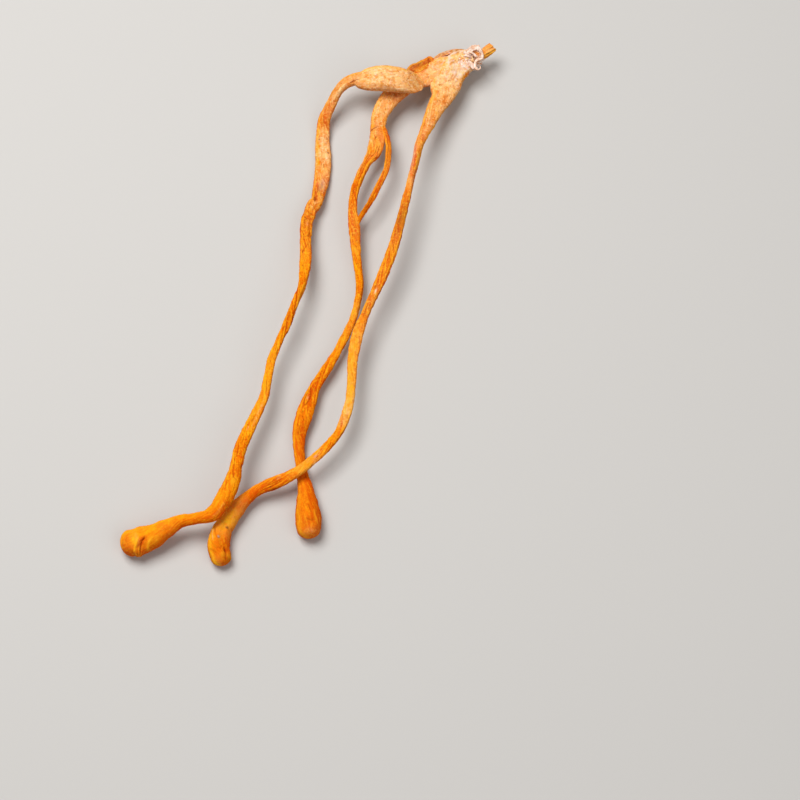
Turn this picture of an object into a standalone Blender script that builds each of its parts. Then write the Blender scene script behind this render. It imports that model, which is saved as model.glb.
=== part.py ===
"""A dried cordyceps cluster: three ribbon-like stems with club heads, grown from one ragged base.

It lies on a surface as a loose dried thing does. X runs across, Y along the stems towards the base and
Z up. The origin is below the middle of the cluster, on the surface. Blender's unit is the metre, and the
sizes below are in millimetres.
"""
import math

import bmesh
import bpy
import numpy as np
from mathutils import Matrix, Vector, noise

MM = 0.001

# Driving sizes, in millimetres.
MIDDLE = Vector((0.16, 0.23, 0.0))  # of the whole cluster, in the tables below
JOINT_GAP = 0.3           # between pieces that touch
JOINT_DEPTH = 6.0         # length of the block that a joint takes off a piece
JOINT_HEIGHT = 12.0       # height of that block

# Cross-sections.
STEM_STEP = 1.25          # spacing along a stem
STUB_STEP = 0.6
CURL_STEP = 0.5
STEM_SIDES = 14           # corners
STUB_SIDES = 28
BASE_SIDES = 16
SLIVER_SIDES = 8
CURL_SIDES = 6

# The skin of the ribbons.
FURROW_DEPTH = 0.36       # of the half thickness, along the top and the underside
FURROW_SHARPNESS = 5      # how narrow a furrow is
FURROW_WANDER = 0.75      # radians that the top furrow drifts to either side
UNDER_WANDER = 1.2        # the same for the furrow underneath
WANDER_LENGTH = 9.0       # length of one drift
LUMP_DEPTH = 0.06         # share by which a stem swells and shrinks along its length
LUMP_LENGTH = 4.0         # length of one such swelling
LUMP_TWIST = 0.8          # how much the swellings of the two edges differ
LUMP_SEED = 7.0

# The club heads.
HEAD_SECTIONS = 9         # cross-sections with no furrow
HEAD_FADE = 8             # cross-sections over which the furrows run out before that
HEAD_ROUNDING = 5         # cross-sections that close the end
HEAD_BLUNTNESS = 0.35     # how much of the rounding is left open as a flat tip
HEAD_REACH = 0.42         # how far the closed end reaches, in widths of the last section

# The stub's ridges and the crumbs of the crust.
STUB_RIDGES = 7
STUB_RIDGE_DEPTH = 0.16
STUB_RIDGE_BREAK = 0.3    # share of a ridge's height that comes and goes along it
CRUMB_BUMP = 0.22         # height of a crumb's bumps, as a share of its size
CRUMB_BUMP_RATE = 1.9     # bumps per half size
CRUMB_ROUNDS = 2          # subdivisions of a crumb
CORE_ROUNDS = 3           # of the largest crumb

SHARP_ANGLE = math.radians(45)

# Where each piece starts in the noise that shapes its skin.
SEEDS = {"left_stem": 1.0, "middle_stem": 5.0, "sliver": 9.0, "front_stem": 13.0, "base": 21.0,
         "arm": 25.0, "strap": 29.0, "crust": 31.0, "curl": 41.0, "stub": 3.0}
# Colour and roughness of each piece.
FINISHES = {"left_stem": ((0.80, 0.30, 0.05), 0.75), "middle_stem": ((0.80, 0.28, 0.04), 0.75),
            "front_stem": ((0.82, 0.30, 0.05), 0.75), "base": ((0.86, 0.52, 0.24), 0.8),
            "crust": ((0.78, 0.55, 0.42), 0.9), "stub": ((0.78, 0.33, 0.09), 0.8)}

# Each station of a route is (x, y, z, width, thickness, turn): the middle of the cross-section, its
# width across and its thickness up in millimetres, and its turn about the stem in degrees.
LEFT_STEM = [
    (16.5, 34.7, 4.3, 1.0, 0.4, 0),
    (15.4, 34.9, 4.8, 2.7, 1.0, 0),
    (14.0, 35.0, 5.2, 3.8, 1.9, 0),
    (11.8, 35.2, 5.5, 4.2, 2.6, 0),
    (9.8, 35.3, 5.4, 4.1, 2.5, 0),
    (8.1, 35.4, 5.1, 3.4, 2.2, 0),
    (6.5, 35.3, 4.8, 2.2, 1.7, 0),
    (5.0, 35.0, 4.4, 1.8, 1.5, 10),
    (3.6, 33.9, 3.8, 1.6, 1.4, 20),
    (2.6, 32.3, 2.9, 1.7, 1.2, 15),
    (1.6, 30.4, 1.9, 1.9, 1.1, 5),
    (1.2, 27.5, 0.8, 2.2, 1.2, 0),
    (1.3, 23.9, 0.5, 2.5, 1.4, 0),
    (1.2, 20.9, 0.6, 2.5, 1.5, 0),
    (0.8, 18.4, 1.0, 2.2, 1.4, 0),
    (0.5, 16.6, 1.4, 2.0, 1.3, 0),
    (-0.3, 14.9, 1.7, 2.1, 1.3, 0),
    (-1.0, 12.6, 2.1, 1.9, 1.3, -10),
    (-1.2, 10.0, 2.5, 1.7, 1.2, 0),
    (-1.1, 6.5, 3.1, 1.8, 1.1, 0),
    (-1.3, 3.4, 3.5, 1.6, 1.1, 15),
    (-1.8, 0.5, 3.8, 1.1, 1.3, 30),
    (-2.6, -1.5, 3.9, 1.1, 1.2, 15),
    (-3.5, -4.3, 3.9, 1.3, 1.0, 0),
    (-4.7, -7.3, 3.9, 1.2, 1.0, 0),
    (-6.0, -10.7, 3.8, 1.3, 1.0, -10),
    (-6.5, -13.5, 3.7, 1.3, 1.0, 0),
    (-7.1, -16.7, 3.7, 1.5, 1.0, 10),
    (-8.1, -19.2, 3.8, 1.6, 1.1, 0),
    (-9.4, -22.3, 4.0, 1.8, 1.2, 0),
    (-10.4, -25.0, 4.2, 1.9, 1.3, 0),
    (-10.9, -27.8, 4.3, 1.9, 1.5, 0),
    (-11.6, -30.5, 4.3, 2.5, 1.9, 0),
    (-12.8, -32.7, 4.2, 3.1, 2.2, 0),
    (-14.4, -34.5, 4.0, 2.7, 2.0, 0),
    (-16.6, -35.3, 3.7, 1.9, 1.7, 0),
    (-19.1, -35.8, 3.3, 2.1, 1.8, 0),
    (-21.2, -36.8, 2.8, 2.9, 2.4, 0),
    (-23.1, -37.7, 2.1, 3.7, 3.3, 0),
    (-24.7, -38.2, 1.8, 4.2, 3.9, 0),
    (-26.1, -38.5, 1.7, 4.0, 3.7, 0),
]
MIDDLE_STEM = [
    (17.0, 36.2, 3.1, 2.9, 1.3, 0),
    (15.4, 36.0, 3.1, 2.9, 1.3, 0),
    (14.0, 35.3, 3.1, 3.1, 1.4, 0),
    (12.6, 34.1, 3.1, 3.2, 1.4, 0),
    (11.2, 32.4, 3.1, 3.0, 1.3, 0),
    (10.2, 30.5, 3.1, 2.6, 1.3, 0),
    (9.8, 28.3, 3.0, 2.4, 1.2, 0),
    (9.6, 26.0, 3.0, 2.3, 1.2, 0),
    (9.0, 24.1, 3.0, 2.0, 1.1, 0),
    (8.1, 22.2, 3.0, 1.6, 1.1, 10),
    (7.1, 19.9, 3.0, 1.4, 1.1, 20),
    (6.2, 17.0, 3.0, 1.3, 1.1, 10),
    (6.0, 14.2, 2.9, 1.4, 1.0, 0),
    (6.2, 11.9, 2.8, 1.8, 1.0, 0),
    (6.4, 9.0, 2.6, 1.6, 1.0, 0),
    (6.7, 5.8, 2.3, 1.3, 1.0, 10),
    (7.1, 2.3, 2.1, 1.2, 1.1, 20),
    (6.8, -0.6, 1.9, 1.0, 1.2, 30),
    (6.1, -3.4, 1.8, 1.2, 1.1, 15),
    (5.0, -6.0, 1.8, 1.3, 1.0, 0),
    (3.6, -8.9, 1.8, 1.3, 1.0, 0),
    (2.1, -11.5, 1.8, 1.6, 1.0, 0),
    (0.6, -14.0, 1.7, 1.7, 1.1, 0),
    (-0.4, -16.6, 1.7, 2.3, 1.2, 0),
    (-1.2, -19.1, 1.6, 2.5, 1.2, 0),
    (-1.8, -21.4, 1.4, 2.1, 1.2, 0),
    (-1.8, -23.5, 1.2, 1.7, 1.2, 0),
    (-1.5, -26.0, 1.1, 1.6, 1.3, 0),
    (-1.1, -28.5, 1.2, 1.9, 1.5, 0),
    (-0.7, -30.6, 1.5, 2.5, 2.2, 0),
    (-0.5, -32.7, 1.6, 3.3, 3.0, 0),
    (-0.3, -34.8, 1.7, 3.8, 3.6, 0),
    (-0.2, -36.3, 1.6, 3.6, 3.5, 0),
]
SLIVER = [
    (10.0, 29.3, 3.1, 0.5, 0.6, 0),
    (10.9, 27.4, 3.2, 0.7, 0.7, 0),
    (11.4, 24.9, 3.4, 0.9, 0.6, 10),
    (11.4, 22.8, 3.5, 1.0, 0.6, 20),
    (11.1, 20.8, 3.5, 1.0, 0.6, 20),
    (9.9, 18.0, 3.4, 1.0, 0.6, 10),
    (8.5, 15.1, 3.2, 0.9, 0.6, 0),
    (7.2, 13.0, 3.0, 0.7, 0.6, 0),
    (6.4, 11.2, 2.8, 0.5, 0.5, 0),
]
FRONT_STEM = [
    (20.6, 35.9, 3.2, 4.4, 1.8, 0),
    (20.3, 34.8, 3.3, 4.2, 1.7, 0),
    (19.8, 33.2, 3.5, 3.6, 1.6, 0),
    (18.9, 31.4, 3.8, 2.9, 1.5, 0),
    (18.0, 29.2, 4.1, 2.3, 1.3, 0),
    (17.0, 26.6, 4.4, 1.7, 1.2, 10),
    (16.1, 24.2, 4.6, 1.3, 1.3, 25),
    (15.6, 21.5, 4.8, 1.0, 1.4, 35),
    (15.0, 19.0, 4.9, 1.0, 1.3, 25),
    (14.3, 15.8, 5.0, 1.2, 1.1, 10),
    (13.5, 12.3, 5.0, 1.3, 1.0, 0),
    (12.9, 9.1, 5.0, 1.4, 1.0, 0),
    (12.0, 5.9, 4.9, 1.4, 1.0, 0),
    (10.8, 2.7, 4.7, 1.4, 1.0, 0),
    (9.4, -0.5, 4.5, 1.1, 1.1, 15),
    (8.1, -3.2, 4.3, 1.3, 1.1, 10),
    (7.1, -5.9, 4.2, 1.7, 1.0, 0),
    (6.5, -8.4, 4.1, 1.8, 1.0, 0),
    (6.1, -11.2, 4.0, 1.5, 1.0, 0),
    (6.0, -14.2, 3.9, 1.4, 1.0, 0),
    (5.7, -17.4, 3.9, 1.4, 1.0, 0),
    (5.1, -19.7, 3.8, 1.5, 1.0, 0),
    (4.0, -22.3, 3.7, 1.3, 1.0, 10),
    (2.3, -24.4, 3.6, 1.4, 1.0, 0),
    (0.2, -26.2, 3.5, 1.5, 1.0, 0),
    (-2.0, -27.6, 3.2, 1.5, 1.1, 0),
    (-4.0, -28.8, 2.9, 1.7, 1.2, 0),
    (-5.8, -29.6, 2.5, 2.0, 1.3, 0),
    (-7.6, -30.4, 2.1, 1.7, 1.4, 0),
    (-9.0, -31.4, 1.8, 1.8, 1.6, 0),
    (-10.5, -32.8, 1.6, 2.4, 2.1, 0),
    (-11.9, -34.8, 1.4, 2.8, 2.6, 0),
    (-13.0, -36.8, 1.4, 3.0, 2.9, 0),
    (-13.4, -38.8, 1.4, 3.1, 3.0, 0),
    (-13.3, -40.6, 1.3, 2.8, 2.7, 0),
]
BASE_SHEET = [
    (26.0, 40.6, 3.3, 3.0, 2.2, 0),
    (24.4, 39.8, 3.3, 3.3, 2.2, 0),
    (22.5, 38.9, 3.2, 4.5, 2.1, 0),
    (21.1, 37.1, 3.2, 4.6, 2.0, 0),
    (20.4, 35.1, 3.2, 4.3, 1.7, 0),
    (19.8, 33.2, 3.5, 3.6, 1.6, 0),
]
BASE_ARM = [
    (21.6, 38.8, 3.1, 3.4, 1.4, 0),
    (19.6, 37.9, 3.1, 4.6, 1.6, 0),
    (17.8, 37.1, 3.1, 4.1, 1.5, 0),
    (16.2, 36.3, 3.1, 3.0, 1.4, 0),
    (14.6, 35.6, 3.1, 2.9, 1.3, 0),
]
BASE_STRAP = [
    (23.6, 41.2, 3.1, 0.8, 0.8, 0),
    (21.6, 41.2, 2.9, 1.2, 1.0, 0),
    (19.6, 40.8, 2.8, 1.5, 1.0, 0),
    (17.9, 39.7, 2.7, 1.6, 1.0, 0),
    (16.1, 38.2, 2.9, 1.5, 0.9, 0),
    (15.4, 37.2, 3.1, 0.9, 0.7, 0),
]
STUB = [
    (24.9, 39.3, 3.1, 1.5, 1.5, 0),
    (25.9, 40.2, 3.3, 1.5, 1.5, 0),
    (26.8, 41.0, 3.5, 1.6, 1.5, 10),
    (27.6, 41.6, 3.6, 1.5, 1.4, 20),
]
CURL = [
    (24.3, 39.4, 3.9, 0.5, 0.5, 0),
    (24.4, 38.6, 4.2, 0.5, 0.4, 0),
    (24.9, 38.0, 4.2, 0.5, 0.4, 0),
    (25.6, 38.1, 4.0, 0.5, 0.4, 0),
    (25.8, 38.8, 3.8, 0.4, 0.3, 0),
]
# Lumps of the crust: middle, then half sizes across, along and up.
CRUST_LUMPS = [
    ((24.6, 40.3, 2.2), (1.4, 1.6, 2.7)),
    ((25.2, 41.1, 3.9), (0.9, 0.8, 1.0)),
    ((24.3, 40.9, 2.9), (0.9, 0.8, 1.3)),
    ((24.3, 39.2, 3.2), (0.9, 0.8, 1.1)),
    ((25.3, 40.3, 4.0), (0.7, 0.8, 0.8)),
    ((25.4, 39.9, 1.5), (0.8, 0.9, 1.5)),
    ((23.8, 40.1, 4.1), (0.7, 0.7, 0.7)),
]

# The faces where pieces meet: a point, the direction from the base into the other piece, and how far
# the face reaches to either side.
MIDDLE_JOINT = ((15.5, 36.0, 3.1), (-1.0, -0.2, 0.0), 2.5)
FRONT_JOINT = ((20.2, 34.3, 3.2), (-0.15, -1.0, 0.0), 2.9)
CRUST_JOINT = ((23.6, 39.4, 3.2), (1.0, 0.3, 0.0), 4.5)
STUB_JOINT = ((26.0, 40.4, 3.3), (0.75, 0.65, 0.0), 3.0)


def placed(point):
    """A point of the tables in Blender's metres, none of it below the surface."""
    x, y, z = Vector(point) - MIDDLE
    return Vector((x, y, max(z, 0.0))) * MM


def clear_scene():
    """Removes every object of the opening scene."""
    for thing in list(bpy.data.objects):
        bpy.data.objects.remove(thing)


def smooth_route(stations, step):
    """Cross-sections about step apart on one smooth curve through the stations."""
    rows = np.array(stations, float)
    chord = np.linalg.norm(np.diff(rows[:, :3], axis=0), axis=1)
    at = np.concatenate([[0.0], np.cumsum(chord)])
    slope = np.gradient(rows, at, axis=0)
    places = np.linspace(0.0, at[-1], max(3, round(at[-1] / step) + 1))
    span = np.clip(np.searchsorted(at, places, side="right") - 1, 0, len(at) - 2)
    width = (at[span + 1] - at[span])[:, None]
    u = (places[:, None] - at[span][:, None]) / width
    return (
        (1 + 2 * u) * (1 - u) ** 2 * rows[span]
        + u * (1 - u) ** 2 * width * slope[span]
        + u ** 2 * (3 - 2 * u) * rows[span + 1]
        - u ** 2 * (1 - u) * width * slope[span + 1]
    )


def rounded_end(rings):
    """The rings of a club head's closed end, shrinking as an egg does."""
    last, along = rings[-1], rings[-1] - rings[-2]
    forward = along[:3] / np.linalg.norm(along[:3])
    reach = HEAD_REACH * last[3]
    closing = []
    for k in range(1, HEAD_ROUNDING + 1):
        turn = 0.5 * math.pi * k / (HEAD_ROUNDING + HEAD_BLUNTNESS)
        ring = last.copy()
        ring[:3] += forward * reach * math.sin(turn)
        ring[3:5] *= math.cos(turn)
        closing.append(ring)
    return np.vstack([rings, closing])


def frames(rings):
    """For each ring, its sideways and upward directions, square to the stem and turned with it."""
    along = np.gradient(rings[:, :3], axis=0)
    result = []
    for direction, turn in zip(along, np.radians(rings[:, 5])):
        forward = Vector(direction).normalized()
        side = forward.cross(Vector((0, 0, 1))).normalized()
        spin = Matrix.Rotation(turn, 3, forward)
        result.append((spin @ side, spin @ side.cross(forward)))
    return result


def furrowed(angle, distance, seed):
    """Share of the full radius that is left by the two long furrows and the slow swellings."""
    drift = noise.noise((distance / WANDER_LENGTH, seed, 0.0))
    top = max(0.0, math.sin(angle - FURROW_WANDER * drift)) ** FURROW_SHARPNESS
    under = max(0.0, -math.sin(angle - UNDER_WANDER * drift)) ** FURROW_SHARPNESS
    swelling = noise.noise((distance / LUMP_LENGTH, seed, LUMP_SEED + LUMP_TWIST * math.cos(angle)))
    return 1 - FURROW_DEPTH * (top + under) + LUMP_DEPTH * swelling


def ridged(angle, distance, seed):
    """Share of the full radius on the stub, whose skin stands in long ridges."""
    height = 1 - STUB_RIDGE_BREAK * (1 - math.sin(2 * distance))
    return 1 + STUB_RIDGE_DEPTH * height * math.cos(STUB_RIDGES * angle + seed)


def tube(rings, sides, seed, skin=furrowed, has_head=False):
    """A closed tube through the rings, with its skin shaped by one of the functions above.

    The skin runs out towards a club head.
    """
    mesh = bmesh.new()
    distance = np.concatenate([[0.0], np.cumsum(np.linalg.norm(np.diff(rings[:, :3], axis=0), axis=1))])
    loops = []
    for number, (ring, (side, up)) in enumerate(zip(rings, frames(rings))):
        loop = []
        left = (len(rings) - HEAD_SECTIONS - number) / HEAD_FADE
        fade = min(1.0, max(0.0, left)) if has_head else 1.0
        for k in range(sides):
            angle = 2 * math.pi * k / sides
            share = 1 + fade * (skin(angle, distance[number], seed) - 1)
            across = 0.5 * ring[3] * share * math.cos(angle)
            height = 0.5 * ring[4] * share * math.sin(angle)
            loop.append(mesh.verts.new(placed(Vector(ring[:3]) + side * across + up * height)))
        loops.append(loop)
    for before, after in zip(loops, loops[1:]):
        for k in range(sides):
            after_k = (k + 1) % sides
            mesh.faces.new((before[k], before[after_k], after[after_k], after[k]))
    mesh.faces.new(list(reversed(loops[0])))
    mesh.faces.new(loops[-1])
    bmesh.ops.recalc_face_normals(mesh, faces=mesh.faces)
    return mesh


def lump(centre, half_sizes, seed, rounds=CRUMB_ROUNDS):
    """An egg-shaped crumb with a bumpy skin."""
    mesh = bmesh.new()
    bmesh.ops.create_icosphere(mesh, subdivisions=rounds, radius=1.0)
    for vert in mesh.verts:
        bump = 1 + CRUMB_BUMP * noise.noise(vert.co * CRUMB_BUMP_RATE + Vector((seed, 0, 0)))
        vert.co = placed(Vector(a * b * bump for a, b in zip(vert.co, half_sizes)) + Vector(centre))
    return mesh


def add_object(name, mesh):
    """A new object in the scene that holds the bmesh, which is then freed."""
    data = bpy.data.meshes.new(name)
    mesh.to_mesh(data)
    mesh.free()
    made = bpy.data.objects.new(name, data)
    bpy.context.scene.collection.objects.link(made)
    return made


def use_guide(target, operation, guide):
    """Joins a hidden guide to the target, or takes it off."""
    step = target.modifiers.new(guide.name, "BOOLEAN")
    step.operation = operation
    step.object = guide
    guide.hide_render = True
    guide.display_type = "WIRE"


def cut_flat(target, joint, name, keep_base_side):
    """Cuts the target flat at a joint, half the gap back from the joint's face."""
    point, direction, half_width = joint
    outward = Vector(direction).normalized() * (1 if keep_base_side else -1)
    mesh = bmesh.new()
    bmesh.ops.create_cube(mesh, size=1.0)
    turned = outward.to_track_quat("X", "Z").to_matrix().to_4x4()
    middle = placed(Vector(point) + outward * (JOINT_DEPTH - JOINT_GAP) / 2)
    sized = Matrix.Diagonal((JOINT_DEPTH * MM, 2 * half_width * MM, JOINT_HEIGHT * MM, 1))
    bmesh.ops.transform(mesh, matrix=Matrix.Translation(middle) @ turned @ sized, verts=mesh.verts)
    use_guide(target, "DIFFERENCE", add_object(name, mesh))


def finish(thing):
    """Gives a piece its material and shades its round faces smooth."""
    colour, roughness = FINISHES[thing.name]
    material = bpy.data.materials.new(f"{thing.name}_material")
    material.use_nodes = True
    shader = material.node_tree.nodes["Principled BSDF"]
    shader.inputs["Base Color"].default_value = (*colour, 1.0)
    shader.inputs["Roughness"].default_value = roughness
    shader.inputs["Metallic"].default_value = 0.0
    thing.data.materials.clear()
    thing.data.materials.append(material)
    thing.data.shade_smooth()
    thing.data.set_sharp_from_angle(angle=SHARP_ANGLE)


def build_left_stem():
    """The stem whose broad pale lobe lies on the base, down to the head at the far left."""
    rings = rounded_end(smooth_route(LEFT_STEM, STEM_STEP))
    stem = add_object("left_stem", tube(rings, STEM_SIDES, SEEDS["left_stem"], has_head=True))
    finish(stem)


def build_middle_stem():
    """The stem that leaves the base's arm under the lobe, with a sliver split from its side."""
    rings = rounded_end(smooth_route(MIDDLE_STEM, STEM_STEP))
    stem = add_object("middle_stem", tube(rings, STEM_SIDES, SEEDS["middle_stem"], has_head=True))
    sliver = tube(smooth_route(SLIVER, STEM_STEP), SLIVER_SIDES, SEEDS["sliver"])
    use_guide(stem, "UNION", add_object("sliver_guide", sliver))
    cut_flat(stem, MIDDLE_JOINT, "middle_stem_cut", keep_base_side=False)
    finish(stem)


def build_front_stem():
    """The stem that the base narrows into, which passes over the middle stem to its long club head."""
    rings = rounded_end(smooth_route(FRONT_STEM, STEM_STEP))
    stem = add_object("front_stem", tube(rings, STEM_SIDES, SEEDS["front_stem"], has_head=True))
    cut_flat(stem, FRONT_JOINT, "front_stem_cut", keep_base_side=False)
    finish(stem)


def build_base():
    """The broad pale sheet that the stems fork from, with its arm and the strap along the arm's edge."""
    base = add_object("base", tube(smooth_route(BASE_SHEET, STEM_STEP), BASE_SIDES, SEEDS["base"]))
    arm = tube(smooth_route(BASE_ARM, STEM_STEP), BASE_SIDES, SEEDS["arm"])
    strap = tube(smooth_route(BASE_STRAP, STEM_STEP), SLIVER_SIDES, SEEDS["strap"])
    use_guide(base, "UNION", add_object("arm_guide", arm))
    use_guide(base, "UNION", add_object("strap_guide", strap))
    for name, joint in (("front", FRONT_JOINT), ("middle", MIDDLE_JOINT), ("crust", CRUST_JOINT)):
        cut_flat(base, joint, f"base_{name}_cut", keep_base_side=True)
    finish(base)


def build_crust():
    """The crumbly residue on the base's end, with a small curl, standing on the surface."""
    seed = SEEDS["crust"]
    crust = add_object("crust", lump(*CRUST_LUMPS[0], seed, CORE_ROUNDS))
    for number, (centre, half_sizes) in enumerate(CRUST_LUMPS[1:], 1):
        crumb = add_object(f"crumb_guide_{number}", lump(centre, half_sizes, seed + number))
        use_guide(crust, "UNION", crumb)
    curl = tube(smooth_route(CURL, CURL_STEP), CURL_SIDES, SEEDS["curl"])
    use_guide(crust, "UNION", add_object("curl_guide", curl))
    cut_flat(crust, CRUST_JOINT, "crust_base_cut", keep_base_side=False)
    cut_flat(crust, STUB_JOINT, "crust_stub_cut", keep_base_side=True)
    finish(crust)


def build_stub():
    """The ridged, broken end of a fourth stem, which sticks out of the crust."""
    stub = add_object("stub", tube(smooth_route(STUB, STUB_STEP), STUB_SIDES, SEEDS["stub"], ridged))
    cut_flat(stub, STUB_JOINT, "stub_cut", keep_base_side=False)
    finish(stub)


clear_scene()
build_base()
build_left_stem()
build_middle_stem()
build_front_stem()
build_crust()
build_stub()
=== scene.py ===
"""A dried cordyceps cluster that lies on a plain pale surface.

Three ribbon-like stems with club heads grow from one pale, ragged base with a crumbly crust and the
broken stub of a fourth stem. The tables are in millimetres and Blender's unit is the metre.
"""
import itertools
import logging
import math
from dataclasses import dataclass, fields
from enum import Enum
from typing import Any

import bpy
import numpy as np
from mathutils import Matrix, Vector, kdtree, noise

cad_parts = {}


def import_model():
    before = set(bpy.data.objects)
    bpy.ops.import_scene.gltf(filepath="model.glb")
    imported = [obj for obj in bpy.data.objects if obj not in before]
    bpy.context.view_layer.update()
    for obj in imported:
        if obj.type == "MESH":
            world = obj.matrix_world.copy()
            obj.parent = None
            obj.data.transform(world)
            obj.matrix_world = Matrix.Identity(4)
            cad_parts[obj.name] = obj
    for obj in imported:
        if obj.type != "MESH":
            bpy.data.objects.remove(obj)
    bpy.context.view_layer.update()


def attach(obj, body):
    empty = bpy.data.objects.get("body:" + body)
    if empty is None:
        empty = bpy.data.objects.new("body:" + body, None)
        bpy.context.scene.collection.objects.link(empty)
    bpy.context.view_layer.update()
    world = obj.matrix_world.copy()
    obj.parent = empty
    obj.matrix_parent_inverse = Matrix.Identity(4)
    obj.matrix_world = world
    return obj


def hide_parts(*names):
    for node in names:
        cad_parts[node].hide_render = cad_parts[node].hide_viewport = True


LOG = logging.getLogger("cordyceps")
MM = 0.001
# Points of a tube that are nearer than this, in metres, are one point.
MERGE = 1e-7
# Faces that meet at less than this angle are shaded as one smooth skin.
SMOOTH = math.radians(70)

# The middle of the whole cluster, in the tables below.
MIDDLE = np.array((0.16, 0.23, 0.0))

# A section of a route is (x, y, z, width, thickness, turn): the middle of the cross-section, its width
# across and its thickness up, and its turn about the stem in degrees, where it has one.
Section = tuple[float, ...]
Point = tuple[float, float, float]

LEFT_STEM: tuple[Section, ...] = (
    (16.2, 34.9, 4.25, 2.4, 0.5), (15.5, 34.9, 4.6, 3.4, 1.0), (14.0, 35.0, 5.2, 4.0, 1.9),
    (11.8, 35.2, 5.45, 4.2, 2.6), (9.8, 35.3, 5.4, 4.1, 2.5), (8.4, 35.3, 5.1, 3.7, 2.2),
    (7.3, 35.3, 4.9, 2.9, 1.9), (6.3, 35.5, 4.7, 2.0, 1.6), (5.0, 35.1, 4.4, 1.8, 1.5, 10),
    (3.6, 33.9, 3.8, 1.6, 1.4, 20), (2.6, 32.3, 2.9, 1.7, 1.2, 15), (1.6, 30.4, 1.9, 1.9, 1.1, 5),
    (1.2, 27.5, 0.8, 2.2, 1.2), (1.3, 23.9, 0.5, 2.5, 1.4), (1.2, 20.9, 0.6, 2.5, 1.5),
    (0.8, 18.4, 1.0, 2.2, 1.4), (0.5, 16.6, 1.4, 2.0, 1.3), (-0.3, 14.9, 1.7, 2.1, 1.3),
    (-1.0, 12.6, 2.1, 1.9, 1.3, -10), (-1.2, 10.0, 2.5, 1.7, 1.2), (-1.1, 6.5, 3.1, 1.8, 1.1),
    (-1.3, 3.4, 3.5, 1.6, 1.1, 15), (-1.8, 0.5, 3.8, 1.1, 1.3, 30), (-2.6, -1.5, 3.9, 1.1, 1.2, 15),
    (-3.5, -4.3, 3.9, 1.3, 1.0), (-4.7, -7.3, 3.9, 1.2, 1.0), (-6.0, -10.7, 3.8, 1.3, 1.0, -10),
    (-6.5, -13.5, 3.7, 1.3, 1.0), (-7.1, -16.7, 3.7, 1.5, 1.0, 10), (-8.1, -19.2, 3.8, 1.6, 1.1),
    (-9.4, -22.3, 4.0, 1.8, 1.2), (-10.4, -25.0, 4.2, 1.9, 1.3), (-10.9, -27.8, 4.3, 1.9, 1.5),
    (-11.6, -30.5, 4.3, 2.5, 1.9), (-12.65, -32.8, 4.2, 2.6, 2.0), (-14.15, -34.8, 4.0, 2.3, 1.8),
    (-16.55, -35.45, 3.7, 1.75, 1.6), (-19.1, -35.8, 3.3, 2.1, 1.8), (-21.2, -36.8, 2.8, 2.9, 2.4),
    (-23.1, -37.7, 2.1, 3.7, 3.3), (-24.7, -38.2, 1.8, 4.2, 3.9), (-26.1, -38.5, 1.7, 4.0, 3.7),
)
MIDDLE_STEM: tuple[Section, ...] = (
    (21.6, 38.8, 3.1, 3.4, 1.4), (19.6, 37.9, 3.1, 4.6, 1.6), (17.8, 37.1, 3.1, 4.1, 1.5),
    (16.2, 36.3, 3.1, 3.0, 1.4), (15.0, 35.9, 3.1, 2.9, 1.3), (14.0, 35.3, 3.1, 3.1, 1.4),
    (12.6, 34.1, 3.1, 3.2, 1.4), (11.2, 32.4, 3.1, 3.0, 1.3), (10.2, 30.5, 3.1, 2.6, 1.3),
    (9.8, 28.3, 3.0, 2.4, 1.2), (9.7, 26.0, 3.0, 2.4, 1.2), (9.4, 24.6, 3.0, 2.4, 1.2),
    (9.0, 23.4, 3.0, 2.1, 1.1), (8.3, 22.4, 3.0, 1.6, 1.1, 10), (7.1, 19.9, 3.0, 1.4, 1.1, 20),
    (6.2, 17.0, 3.0, 1.3, 1.1, 10), (6.0, 14.2, 2.9, 1.4, 1.0), (6.2, 11.9, 2.8, 1.8, 1.0),
    (6.4, 9.0, 2.6, 1.6, 1.0), (6.7, 5.8, 2.3, 1.3, 1.0, 10), (7.1, 2.3, 2.1, 1.2, 1.1, 20),
    (6.8, -0.6, 1.9, 1.0, 1.2, 30), (6.1, -3.4, 1.8, 1.2, 1.1, 15), (5.0, -6.0, 1.8, 1.3, 1.0),
    (3.6, -8.9, 1.8, 1.3, 1.0), (2.1, -11.5, 1.8, 1.6, 1.0), (0.6, -14.0, 1.7, 1.7, 1.1),
    (-0.4, -16.6, 1.7, 2.3, 1.2), (-1.2, -19.1, 1.6, 2.5, 1.2), (-1.8, -21.4, 1.4, 2.1, 1.2),
    (-1.8, -23.5, 1.2, 1.7, 1.2), (-1.5, -26.0, 1.1, 1.6, 1.3), (-1.1, -28.5, 1.2, 1.9, 1.5),
    (-0.7, -30.6, 1.5, 2.5, 2.2), (-0.5, -32.7, 1.6, 3.3, 3.0), (-0.3, -34.8, 1.7, 3.8, 3.6),
    (-0.2, -36.3, 1.6, 3.6, 3.5),
)
SLIVER: tuple[Section, ...] = (
    (10.0, 29.3, 3.1, 0.5, 0.6), (10.9, 27.4, 3.2, 0.7, 0.7), (11.4, 24.9, 3.4, 0.9, 0.6, 10),
    (11.4, 22.8, 3.5, 1.0, 0.6, 20), (11.1, 20.8, 3.5, 1.0, 0.6, 20), (9.9, 18.0, 3.4, 1.0, 0.6, 10),
    (8.5, 15.1, 3.2, 0.9, 0.6), (7.2, 13.0, 3.0, 0.7, 0.6), (6.4, 11.2, 2.8, 0.5, 0.5),
)
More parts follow.
